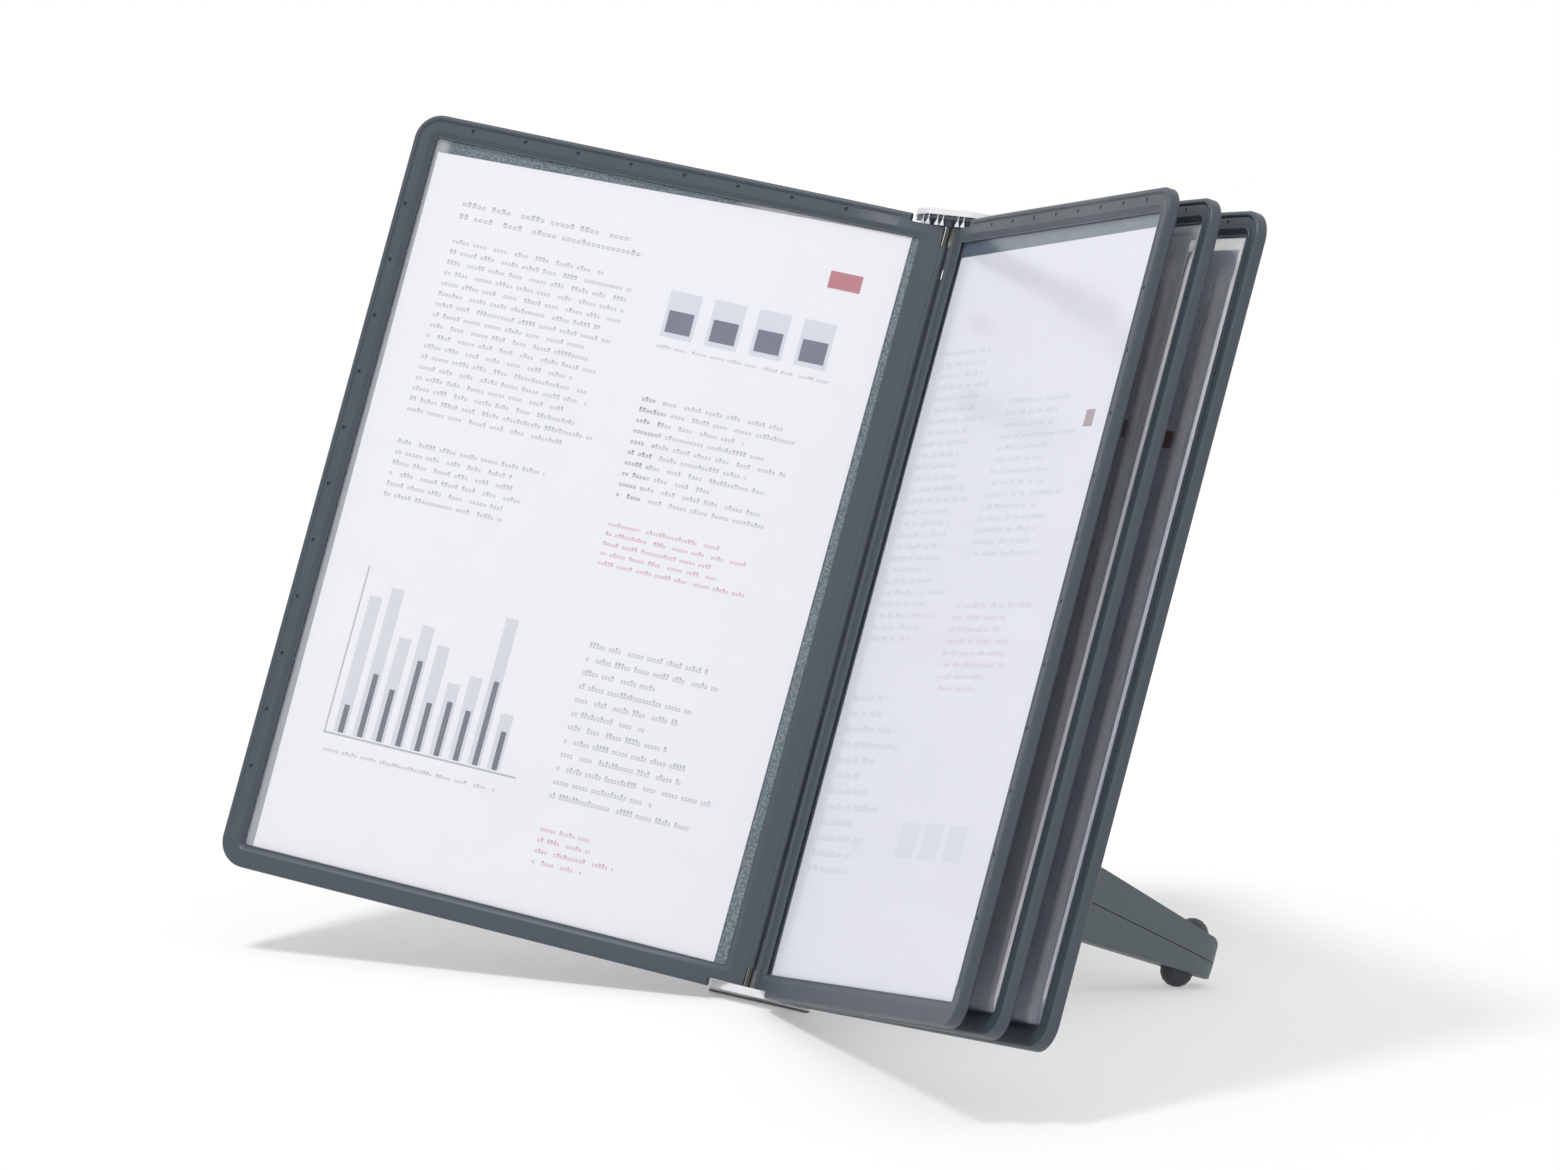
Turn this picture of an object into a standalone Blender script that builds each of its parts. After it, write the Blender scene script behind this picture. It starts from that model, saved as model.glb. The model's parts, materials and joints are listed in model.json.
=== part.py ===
# Desktop reference display stand: four framed display panels hang on upright pins
# between two brackets, on a spine that leans back on a rubber strip and two folding legs.
# Lengths are metres. World +Z is up and +Y points to the back of the stand.
# The spine frame is tilted: its X is the world's, its Y points backwards, square to the
# spine, and its Z runs up along the spine. Its origin is at the foot of the pin row.

import bmesh
import bpy
from math import atan2, cos, hypot, pi, radians, sin, tan
from mathutils import Matrix, Vector

MM = 0.001

# Whole stand
LEAN_DEG = 20.5
CLEARANCE = 0.3 * MM
CUT_OVERRUN = 2.0 * MM
WELD_DISTANCE = 0.003 * MM

# Paper sheets, and the room that a panel has over the sheet's own size
SHEET_WIDTH = 210.0 * MM
SHEET_HEIGHT = 297.0 * MM
SHEET_THICKNESS = 0.3 * MM
SHEET_SIDE_ROOM = 22.3 * MM
SHEET_END_ROOM = 18.0 * MM
SHEET_TILTS_DEG = {"panel_1": 0.7, "panel_2": -0.3, "panel_3": -1.2, "panel_4": 0.15}

# Panels
STILE_START = 1.2 * MM
PANEL_REACH = STILE_START + SHEET_WIDTH + SHEET_SIDE_ROOM
PANEL_HEIGHT = SHEET_HEIGHT + SHEET_END_ROOM
BAR_WIDTH = 9.5 * MM
BAR_THICKNESS = 4.8 * MM
STILE_THICKNESS = 2.7 * MM
TAPER_LENGTH = 34.0 * MM
LIP_THICKNESS = 2.6 * MM
PANEL_CORNER_RADIUS = 11.0 * MM
RIM_EDGE = 0.9 * MM
RIM_BEVEL_SHARE = 0.33
RIM_WIDTH = 2.2 * MM
RIM_STEP = 0.5 * MM
CHANNEL_WIDTH = 4.4 * MM
CHANNEL_DEPTH_SHARE = 0.45
WEB_THICKNESS = 1.7 * MM
WEB_WIDTH = 6.6 * MM
WEB_FLAT = 1.2 * MM
BARREL_RADIUS = 1.75 * MM
BARREL_SETBACK = 10.5 * MM
NOTCH_LENGTH = 16.5 * MM
NOTCH_DEPTH = 3.3 * MM

# Film pocket
SLOT_THICKNESS = 1.9 * MM
SLOT_DEPTH = 5.7 * MM
SLOT_STILE_DEPTH = 2.2 * MM
FILM_THICKNESS = 0.3 * MM
FILM_SPACING = 1.1 * MM

# Pin row and the panels that hang on it
PIN_RADIUS = 1.1 * MM
PIN_GRIP = 12.0 * MM
PIN_PITCH = 5.5 * MM
PIN_ROW_RADIUS = 47.0 * MM
SOCKET_COUNT = 8
PANELS = {
    "panel_1": {"socket": 3, "side": -1, "swing_deg": 25.56},
    "panel_2": {"socket": 4, "side": 1, "swing_deg": 25.5},
    "panel_3": {"socket": 5, "side": 1, "swing_deg": 22.47},
    "panel_4": {"socket": 6, "side": 1, "swing_deg": 19.06},
}

# Brackets
PLATE_FRONT = 4.0 * MM
PLATE_REAR = 6.5 * MM
PLATE_FRONT_WIDTH = 24.0 * MM
PLATE_SHOULDER_WIDTH = 44.8 * MM
PLATE_REAR_WIDTH = 60.0 * MM
PLATE_CORNER_RADIUS = 0.8 * MM
BOTTOM_PLATE_THICKNESS = 3.0 * MM
TOP_PLATE_THICKNESS = 2.4 * MM
SOCKET_FLOOR = 0.5 * MM
STRIP_THICKNESS = 1.2 * MM
STRIP_INSET = 0.8 * MM
CONE_HEIGHT = 2.6 * MM
CONE_TOP_RADIUS = 2.6 * MM
CONE_TIP_RADIUS = 1.8 * MM
BLOCK_WALL = 2.0 * MM
BLOCK_HEIGHT = 20.0 * MM
BLOCK_FLOOR = 3.0 * MM
BLOCK_FLOOR_CLEARANCE = 1.0 * MM

# Spine column
COLUMN_WIDTH = 12.0 * MM
COLUMN_DEPTH = 8.0 * MM
COLUMN_FRONT = 8.2 * MM

# Rubber strip under the bottom bracket
PAD_LENGTH = 56.0 * MM
PAD_DEPTH = 1.8 * MM
PAD_REAR_HEIGHT = 0.4 * MM
PAD_REAR_INSET = 0.1 * MM

# Leg hub
HUB_WALL = 2.1 * MM
HUB_SCREW_SHARE = 0.25
EAR_THICKNESS = 4.0 * MM
LEG_PIVOT_SPACING = 20.0 * MM
LEG_PIVOT_BACK = 27.0 * MM
LEG_PIN_RADIUS = 2.5 * MM
LEG_PIN_HEAD_RADIUS = 4.0 * MM
LEG_PIN_HEAD_HEIGHT = 1.2 * MM
LEG_PIN_TAIL = 1.6 * MM
CLIP_THICKNESS = 0.8 * MM
CLIP_BORE_CLEARANCE = 0.1 * MM
STOP_RIB_WIDTH = 3.2 * MM
STOP_RIB_REAR_WIDTH = 10.6 * MM
STOP_RIB_FLARE_SHARE = 1.1

# Legs
LEG_SPLAY_DEG = 37.0
LEG_THICKNESS = 16.0 * MM
LEG_REACH = 134.4 * MM
LEG_ROOT_BOTTOM = 57.6 * MM
LEG_ROOT_TOP = 109.5 * MM
LEG_ROOT_LENGTH = 10.0 * MM
LEG_TIP_HEIGHT = 20.2 * MM
LEG_OVERHANG = 13.4 * MM
LEG_TIP_CORNER = 5.0 * MM
LEG_TIP_CHAMFER_SHARE = 0.2
LEG_TIP_FLAT_SHARE = 2.0
LEG_WALL = 2.0 * MM
LEG_SEAM_SHARE = 0.56
LEG_SEAM_TIP_SHARE = 0.42
FOOT_RADIUS = 6.7 * MM
FOOT_DOME_SPACING = 15.2 * MM
FOOT_STEM_RADIUS = 4.0 * MM

# Screws
SCREW_HEAD_RADIUS = 2.8 * MM
SCREW_HEAD_HEIGHT = 1.6 * MM
SCREW_HEAD_TOP_SHARE = 0.9
SCREW_SHANK_RADIUS = 1.5 * MM
SCREW_GRIP = 4.0 * MM
BRACKET_SCREW_HEIGHT = 14.0 * MM

# Fineness of round shapes, in sides of a full circle
ROUND_SIDES = 24
SMALL_SIDES = 16
SMOOTH_ANGLE_DEG = 35.0

# Places worked out from the sizes above
LEAN = radians(LEAN_DEG)
SPLAY = radians(LEG_SPLAY_DEG)
COLUMN_REAR = COLUMN_FRONT + COLUMN_DEPTH
PAD_REAR_Y = PAD_DEPTH / 2
DATUM_Y = PAD_REAR_Y + PAD_REAR_INSET - PLATE_REAR * cos(LEAN)
DATUM_Z = (PAD_REAR_Y - DATUM_Y) * tan(LEAN) + PAD_REAR_HEIGHT + CLEARANCE
STRIP_BOTTOM = PANEL_HEIGHT - NOTCH_DEPTH + 2 * CLEARANCE + CONE_HEIGHT
TOP_PLATE_BOTTOM = STRIP_BOTTOM + STRIP_THICKNESS + CLEARANCE
TOP_PLATE_TOP = TOP_PLATE_BOTTOM + TOP_PLATE_THICKNESS
FOOT_BACK = LEG_PIVOT_BACK + LEG_REACH * cos(SPLAY)
FOOT_UP = (FOOT_RADIUS - DATUM_Z + FOOT_BACK * sin(LEAN)) / cos(LEAN)


def clear_scene():
    for old in list(bpy.data.objects):
        bpy.data.objects.remove(old, do_unlink=True)


def material(name, colour, roughness, metallic=0.0, alpha=1.0):
    found = bpy.data.materials.get(name)
    if found:
        bpy.data.materials.remove(found)
    made = bpy.data.materials.new(name)
    made.use_nodes = True
    shader = made.node_tree.nodes["Principled BSDF"]
    shader.inputs["Base Color"].default_value = (*colour, 1.0)
    shader.inputs["Roughness"].default_value = roughness
    shader.inputs["Metallic"].default_value = metallic
    shader.inputs["Alpha"].default_value = alpha
    return made


def empty(name, location, turn=0.0, tilt=0.0, parent=None):
    made = bpy.data.objects.new(name, None)
    bpy.context.scene.collection.objects.link(made)
    made.parent = parent
    made.location = location
    made.rotation_euler = (tilt, 0.0, turn)
    return made


def mesh_from(bm, name):
    bmesh.ops.recalc_face_normals(bm, faces=bm.faces)
    mesh = bpy.data.meshes.new(name)
    bm.to_mesh(mesh)
    bm.free()
    return mesh


def node(name, mesh, look, parent=None):
    made = bpy.data.objects.new(name, mesh)
    bpy.context.scene.collection.objects.link(made)
    made.parent = parent
    mesh.materials.clear()
    mesh.materials.append(look)
    mesh.shade_smooth()
    mesh.set_sharp_from_angle(angle=radians(SMOOTH_ANGLE_DEG))
    return made


def prism(outline, low, high, across="z"):
    # A flat outline extruded between two levels; across names the extrusion direction.
    bm = bmesh.new()
    order = {
        "z": lambda a, b, c: (a, b, c),
        "y": lambda a, b, c: (a, c, b),
        "x": lambda a, b, c: (c, a, b),
    }[across]
    ring = [bm.verts.new(order(a, b, low)) for a, b in outline]
    face = bm.faces.new(ring)
    grown = bmesh.ops.extrude_face_region(bm, geom=[face])
    far_ring = [v for v in grown["geom"] if isinstance(v, bmesh.types.BMVert)]
    bmesh.ops.translate(bm, verts=far_ring, vec=Vector(order(0, 0, high - low)))
    return mesh_from(bm, "prism")


def box(low, high):
    outline = [(low[0], low[1]), (high[0], low[1]), (high[0], high[1]), (low[0], high[1])]
    return prism(outline, low[2], high[2])


def circle(centre, radius, sides, start=0.0, sweep=2 * pi, closed=True):
    steps = sides if closed else sides + 1
    return [
        (
            centre[0] + radius * cos(start + sweep * i / sides),
            centre[1] + radius * sin(start + sweep * i / sides),
        )
        for i in range(steps)
    ]


def cylinder(centre, radius, low, high, sides=ROUND_SIDES, across="z"):
    return prism(circle(centre, radius, sides), low, high, across)


def turned(profile, sides=ROUND_SIDES):
    # A closed turned solid from (radius, height) points that start and end on the axis.
    bm = bmesh.new()
    chain = [bm.verts.new((radius, 0.0, height)) for radius, height in profile]
    edges = [bm.edges.new((chain[i], chain[i + 1])) for i in range(len(chain) - 1)]
    bmesh.ops.spin(
        bm,
        geom=chain + edges,
        axis=(0.0, 0.0, 1.0),
        cent=(0.0, 0.0, 0.0),
        angle=2 * pi,
        steps=sides,
        use_merge=True,
    )
    bmesh.ops.remove_doubles(bm, verts=bm.verts, dist=WELD_DISTANCE)
    return mesh_from(bm, "turned")


def moved(mesh, location=(0, 0, 0), turn=None):
    matrix = Matrix.Translation(location)
    if turn:
        matrix = matrix @ turn
    mesh.transform(matrix)
    return mesh


def joined(meshes):
    # Several separate meshes as one mesh, left as separate bodies.
    bm = bmesh.new()
    for mesh in meshes:
        bm.from_mesh(mesh)
    return mesh_from(bm, "joined")


def combined(mesh, tools, operation):
    # The mesh after a Boolean with each tool in turn.
    base = bpy.data.objects.new("base", mesh)
    bpy.context.scene.collection.objects.link(base)
    helpers = []
    for tool in tools:
        helper = bpy.data.objects.new("tool", tool)
        bpy.context.scene.collection.objects.link(helper)
        helper.hide_render = True
        helper.display_type = "WIRE"
        step = base.modifiers.new("step", "BOOLEAN")
        step.operation = operation
        step.solver = "EXACT"
        step.object = helper
        helpers.append(helper)
    bpy.context.view_layer.update()
    graph = bpy.context.evaluated_depsgraph_get()
    result = bpy.data.meshes.new_from_object(base.evaluated_get(graph))
    for helper in helpers + [base]:
        bpy.data.objects.remove(helper, do_unlink=True)
    return result


def cut(mesh, *tools):
    return combined(mesh, tools, "DIFFERENCE")


def union(mesh, *tools):
    return combined(mesh, tools, "UNION")


def common(mesh, *tools):
    return combined(mesh, tools, "INTERSECT")


def socket_place(index):
    # Centre of a socket on the arc of the pin row, as spine X and Y.
    angle = (index - (SOCKET_COUNT - 1) / 2) * PIN_PITCH / PIN_ROW_RADIUS
    return PIN_ROW_RADIUS * sin(angle), PIN_ROW_RADIUS * (1 - cos(angle))


def bar_half_thickness(reach):
    # Half the frame's thickness at a distance from the hinge: thin at the hinge stile.
    stile_end = STILE_START + BAR_WIDTH
    share = min(max((reach - stile_end) / TAPER_LENGTH, 0.0), 1.0)
    return (STILE_THICKNESS + (BAR_THICKNESS - STILE_THICKNESS) * share) / 2


def bar_profile(reach):
    # Points across the bar as (distance from the outer edge, half thickness there).
    rim = bar_half_thickness(reach)
    lip = LIP_THICKNESS / 2
    channel = lip + (rim - lip) * (1 - CHANNEL_DEPTH_SHARE)
    bevel = RIM_EDGE * RIM_BEVEL_SHARE
    return [
        (0.0, rim - RIM_EDGE),
        (bevel, rim - bevel),
        (RIM_EDGE, rim),
        (RIM_WIDTH, rim),
        (RIM_WIDTH + RIM_STEP, channel),
        (RIM_WIDTH + RIM_STEP + CHANNEL_WIDTH, channel),
        (BAR_WIDTH, lip),
    ]


def panel_ring():
    # The frame's four bars, swept once round the window.
    inner_radius = PANEL_CORNER_RADIUS - BAR_WIDTH
    far = PANEL_REACH - PANEL_CORNER_RADIUS
    taper_end = STILE_START + BAR_WIDTH + TAPER_LENGTH
    stations = [((STILE_START, 0.0), (STILE_START + BAR_WIDTH, BAR_WIDTH))]
    stations.append(((taper_end, 0.0), (taper_end, BAR_WIDTH)))
    for level, start in ((PANEL_CORNER_RADIUS, -pi / 2), (PANEL_HEIGHT - PANEL_CORNER_RADIUS, 0.0)):
        steps = ROUND_SIDES // 4
        outer = circle((far, level), PANEL_CORNER_RADIUS, steps, start, pi / 2, closed=False)
        inner = circle((far, level), inner_radius, steps, start, pi / 2, closed=False)
        stations.extend(zip(outer, inner))
    top = PANEL_HEIGHT
    stations.append(((taper_end, top), (taper_end, top - BAR_WIDTH)))
    stations.append(((STILE_START, top), (STILE_START + BAR_WIDTH, top - BAR_WIDTH)))
    bm = bmesh.new()
    rings = []
    for outer, inner in stations:
        front, back = [], []
        for across, half in bar_profile((outer[0] + inner[0]) / 2):
            share = across / BAR_WIDTH
            reach = outer[0] + (inner[0] - outer[0]) * share
            level = outer[1] + (inner[1] - outer[1]) * share
            front.append(bm.verts.new((reach, -half, level)))
            back.append(bm.verts.new((reach, half, level)))
        rings.append(front + back[::-1])
    for ring, following in zip(rings, rings[1:] + rings[:1]):
        for i in range(len(ring)):
            j = (i + 1) % len(ring)
            bm.faces.new((ring[i], ring[j], following[j], following[i]))
    bmesh.ops.triangulate(bm, faces=bm.faces)
    return mesh_from(bm, "ring")


def panel_frame():
    wide = BAR_THICKNESS
    web = WEB_THICKNESS / 2
    web_end = STILE_START + WEB_WIDTH
    top = PANEL_HEIGHT
    barrel_low = BARREL_SETBACK
    barrel_high = top - BARREL_SETBACK
    slot = box(
        (STILE_START + BAR_WIDTH - SLOT_STILE_DEPTH, -SLOT_THICKNESS / 2, BAR_WIDTH - SLOT_DEPTH),
        (PANEL_REACH - BAR_WIDTH + SLOT_DEPTH, SLOT_THICKNESS / 2, top - BAR_WIDTH + SLOT_DEPTH),
    )
    slope = [(-CUT_OVERRUN, web), (STILE_START + WEB_FLAT, web), (web_end, STILE_THICKNESS / 2)]
    slope += [(web_end, wide), (-CUT_OVERRUN, wide)]
    mirrored = [(x, -y) for x, y in reversed(slope)]
    webs = [prism(side, -CUT_OVERRUN, top + CUT_OVERRUN) for side in (slope, mirrored)]
    notches = [
        box((-CUT_OVERRUN, -wide, -CUT_OVERRUN), (NOTCH_LENGTH, wide, NOTCH_DEPTH)),
        box((-CUT_OVERRUN, -wide, top - NOTCH_DEPTH), (NOTCH_LENGTH, wide, top + CUT_OVERRUN)),
    ]
    relief = PIN_RADIUS + 2 * CLEARANCE
    reliefs = [
        box((-CUT_OVERRUN, -wide, -CUT_OVERRUN), (relief, wide, barrel_low)),
        box((-CUT_OVERRUN, -wide, barrel_high), (relief, wide, top + CUT_OVERRUN)),
    ]
    barrel = cylinder((0, 0), BARREL_RADIUS, barrel_low, barrel_high, SMALL_SIDES)
    bore = PIN_RADIUS + CLEARANCE
    bores = [
        cylinder((0, 0), bore, barrel_low - CUT_OVERRUN, barrel_low + PIN_GRIP + CLEARANCE, SMALL_SIDES),
        cylinder((0, 0), bore, barrel_high - PIN_GRIP - CLEARANCE, barrel_high + CUT_OVERRUN, SMALL_SIDES),
    ]
    body = cut(panel_ring(), *webs, slot, *notches, *reliefs)
    return cut(union(body, barrel), *bores)


def panel_film(side):
    # One clear film of the pocket; side is -1 for the front and 1 for the back.
    edge = 2 * CLEARANCE
    centre = side * FILM_SPACING / 2
    low_reach = STILE_START + BAR_WIDTH - SLOT_STILE_DEPTH + edge
    high_reach = PANEL_REACH - BAR_WIDTH + SLOT_DEPTH - edge
    low = BAR_WIDTH - SLOT_DEPTH + edge
    high = PANEL_HEIGHT - BAR_WIDTH + SLOT_DEPTH - edge
    half = FILM_THICKNESS / 2
    return box((low_reach, centre - half, low), (high_reach, centre + half, high))


def panel_sheet(tilt):
    # The paper stands on its lower corner in the bottom slot, turned a little in its plane.
    half = SHEET_THICKNESS / 2
    window_centre = (STILE_START + PANEL_REACH) / 2
    sheet = box((-SHEET_WIDTH / 2, -half, -SHEET_HEIGHT / 2), (SHEET_WIDTH / 2, half, SHEET_HEIGHT / 2))
    drop = (SHEET_HEIGHT * cos(tilt) + SHEET_WIDTH * abs(sin(tilt))) / 2
    centre_up = BAR_WIDTH - SLOT_DEPTH + CLEARANCE + drop
    return moved(sheet, (window_centre, 0, centre_up), Matrix.Rotation(tilt, 4, "Y"))


def lower_pin():
    low = SOCKET_FLOOR + CLEARANCE
    return cylinder((0, 0), PIN_RADIUS, low, BARREL_SETBACK + PIN_GRIP, SMALL_SIDES)


def upper_pin():
    high = STRIP_BOTTOM + STRIP_THICKNESS - CLEARANCE
    low = PANEL_HEIGHT - BARREL_SETBACK - PIN_GRIP
    return cylinder((0, 0), PIN_RADIUS, low, high, SMALL_SIDES)


def build_panels(spine, looks):
    frame = panel_frame()
    front = panel_film(-1)
    back = panel_film(1)
    pins = lower_pin(), upper_pin()
    for name, place in PANELS.items():
        swing = radians(place["swing_deg"])
        turn = -swing if place["side"] > 0 else swing - pi
        x, y = socket_place(place["socket"])
        hinge = empty(name + "_hinge", (x, y, 0.0), turn, parent=spine)
        tilt = radians(SHEET_TILTS_DEG[name])
        node(name + "_frame", frame, looks["frame_plastic"], hinge)
        node(name + "_front_film", front, looks["clear_film"], hinge)
        node(name + "_back_film", back, looks["clear_film"], hinge)
        node(name + "_sheet", panel_sheet(tilt), looks["paper"], hinge)
        node(name + "_lower_pin", pins[0], looks["steel"], hinge)
        node(name + "_upper_pin", pins[1], looks["steel"], hinge)


def rounded(corners, radius, steps=3):
    # An outline with each corner replaced by a short arc.
    points = []
    count = len(corners)
    for i in range(count):
        before, here, after = (Vector(corners[(i + k) % count]) for k in (-1, 0, 1))
        to_before = (before - here).normalized()
        to_after = (after - here).normalized()
        half = to_before.angle(to_after) / 2
        centre = here + (to_before + to_after).normalized() * radius / sin(half)
        start = here + to_before * radius / tan(half)
        end = here + to_after * radius / tan(half)
        first = atan2(start.y - centre.y, start.x - centre.x)
        sweep = atan2(end.y - centre.y, end.x - centre.x) - first
        sweep = (sweep + pi) % (2 * pi) - pi
        for k in range(steps + 1):
            angle = first + sweep * k / steps
            points.append((centre.x + radius * cos(angle), centre.y + radius * sin(angle)))
    return points


def plate_outline(inset=0.0):
    front = PLATE_FRONT_WIDTH / 2
    shoulder = PLATE_SHOULDER_WIDTH / 2 - inset
    rear = PLATE_REAR_WIDTH / 2 - 2 * inset
    low = -PLATE_FRONT + inset
    high = PLATE_REAR - inset
    corners = [(-front, low), (front, low), (shoulder, 0.0), (rear, high), (-rear, high), (-shoulder, 0.0)]
    return rounded(corners, PLATE_CORNER_RADIUS)


def sockets(low, high):
    places = [socket_place(i) for i in range(SOCKET_COUNT)]
    return [cylinder(place, PIN_RADIUS + CLEARANCE, low, high, SMALL_SIDES) for place in places]


def column_box(low, high, grow):
    # A box between two levels that stands out from the column by grow on all four sides.
    half = COLUMN_WIDTH / 2 + grow
    return box((-half, COLUMN_FRONT - grow, low), (half, COLUMN_REAR + grow, high))


def screw_hole(level):
    centre = (0, level)
    depth = COLUMN_REAR - SCREW_GRIP - CLEARANCE
    overrun = COLUMN_REAR + BLOCK_WALL + CUT_OVERRUN
    return cylinder(centre, SCREW_SHANK_RADIUS + CLEARANCE, depth, overrun, SMALL_SIDES, "y")


def floor_cutter():
    # Everything lower than a small height over the floor, in the spine frame.
    reach = 2 * (COLUMN_REAR + BLOCK_WALL)
    slope = tan(LEAN)
    rise = (BLOCK_FLOOR_CLEARANCE - DATUM_Z) / cos(LEAN)
    outline = [
        (PLATE_REAR, -BLOCK_HEIGHT),
        (reach, -BLOCK_HEIGHT),
        (reach, reach * slope + rise),
        (PLATE_REAR, PLATE_REAR * slope + rise),
    ]
    half = PLATE_REAR_WIDTH
    return prism(outline, -half, half, "x")


def column_bottom():
    return (COLUMN_REAR * sin(LEAN) + BLOCK_FLOOR_CLEARANCE - DATUM_Z) / cos(LEAN) + BLOCK_FLOOR


def column_top():
    return TOP_PLATE_BOTTOM


def bottom_bracket():
    plate = prism(plate_outline(), 0.0, BOTTOM_PLATE_THICKNESS)
    block_top = column_bottom() + BLOCK_HEIGHT
    body = union(plate, column_box(BOTTOM_PLATE_THICKNESS / 2, block_top, BLOCK_WALL + CLEARANCE))
    pocket = column_box(column_bottom() - CLEARANCE, block_top + CUT_OVERRUN, CLEARANCE)
    hole = screw_hole(column_bottom() + BRACKET_SCREW_HEIGHT)
    top = BOTTOM_PLATE_THICKNESS + CUT_OVERRUN
    return cut(body, floor_cutter(), pocket, hole, joined(sockets(SOCKET_FLOOR, top)))


def top_bracket():
    plate = prism(plate_outline(), TOP_PLATE_BOTTOM, TOP_PLATE_TOP)
    block_low = column_top() - BLOCK_HEIGHT
    block_high = TOP_PLATE_TOP - TOP_PLATE_THICKNESS / 2
    body = union(plate, column_box(block_low, block_high, BLOCK_WALL + CLEARANCE))
    pocket = column_box(block_low - CUT_OVERRUN, column_top() + CLEARANCE, CLEARANCE)
    hole = screw_hole(column_top() - BRACKET_SCREW_HEIGHT)
    return cut(body, pocket, hole)


def top_socket_strip():
    # The dark strip under the top plate, with a cone round each socket.
    outline = plate_outline(STRIP_INSET)
    rear = COLUMN_FRONT - BLOCK_WALL - 2 * CLEARANCE
    outline = [(x, min(y, rear)) for x, y in outline]
    strip = prism(outline, STRIP_BOTTOM, STRIP_BOTTOM + STRIP_THICKNESS)
    cones = []
    for i in range(SOCKET_COUNT):
        x, y = socket_place(i)
        low = STRIP_BOTTOM - CONE_HEIGHT
        high = STRIP_BOTTOM + STRIP_THICKNESS / 2
        profile = [(0.0, low), (CONE_TIP_RADIUS, low), (CONE_TOP_RADIUS, STRIP_BOTTOM)]
        profile += [(CONE_TOP_RADIUS, high), (0.0, high)]
        cones.append(moved(turned(profile, SMALL_SIDES), (x, y, 0.0)))
    body = union(strip, joined(cones))
    low = STRIP_BOTTOM - CONE_HEIGHT - CUT_OVERRUN
    high = STRIP_BOTTOM + STRIP_THICKNESS + CUT_OVERRUN
    return cut(body, joined(sockets(low, high)))


def spine_column():
    half = COLUMN_WIDTH / 2
    low = column_bottom()
    high = column_top()
    bar = box((-half, COLUMN_FRONT, low), (half, COLUMN_REAR, high))
    holes = [screw_hole(low + BRACKET_SCREW_HEIGHT), screw_hole(high - BRACKET_SCREW_HEIGHT)]
    holes += [hub_screw_hole(level) for level in hub_screw_levels()]
    return cut(bar, *holes)


def screw(level, face, direction):
    # A pan head screw whose head sits on a face square to spine Y; direction is its head's way out.
    head_low = CLEARANCE
    head_high = CLEARANCE + SCREW_HEAD_HEIGHT
    tip = -(BLOCK_WALL + CLEARANCE + SCREW_GRIP)
    profile = [(0.0, tip), (SCREW_SHANK_RADIUS, tip), (SCREW_SHANK_RADIUS, head_low)]
    top_radius = SCREW_HEAD_RADIUS * SCREW_HEAD_TOP_SHARE
    profile += [(SCREW_HEAD_RADIUS, head_low), (top_radius, head_high), (0.0, head_high)]
    quarter = Matrix.Rotation(-direction * pi / 2, 4, "X")
    return moved(turned(profile, SMALL_SIDES), (0.0, face, level), quarter)


def hub_levels():
    # Bottom of the lower ear and top of the upper ear.
    low = LEG_ROOT_BOTTOM - CLEARANCE - EAR_THICKNESS
    high = LEG_ROOT_TOP + CLEARANCE + EAR_THICKNESS
    return low, high


def hub_screw_levels():
    low, high = hub_levels()
    inset = (high - low) * HUB_SCREW_SHARE
    return low + inset, high - inset


def hub_screw_hole(level):
    start = COLUMN_FRONT - HUB_WALL - CLEARANCE - CUT_OVERRUN
    end = COLUMN_FRONT + SCREW_GRIP + 2 * CLEARANCE
    return cylinder((0, level), SCREW_SHANK_RADIUS + CLEARANCE, start, end, SMALL_SIDES, "y")


def ear_outline():
    # Plan of an ear: from the sleeve's corners round both leg pivots.
    half = COLUMN_WIDTH / 2 + CLEARANCE + HUB_WALL
    front = COLUMN_FRONT - CLEARANCE - HUB_WALL
    radius = LEG_THICKNESS / 2
    pivot = LEG_PIVOT_SPACING / 2
    steps = ROUND_SIDES // 4
    right = circle((pivot, LEG_PIVOT_BACK), radius, steps, 0.0, pi / 2, closed=False)
    left = [(-x, y) for x, y in reversed(right)]
    return [(-half, front), (half, front)] + right + left


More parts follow.
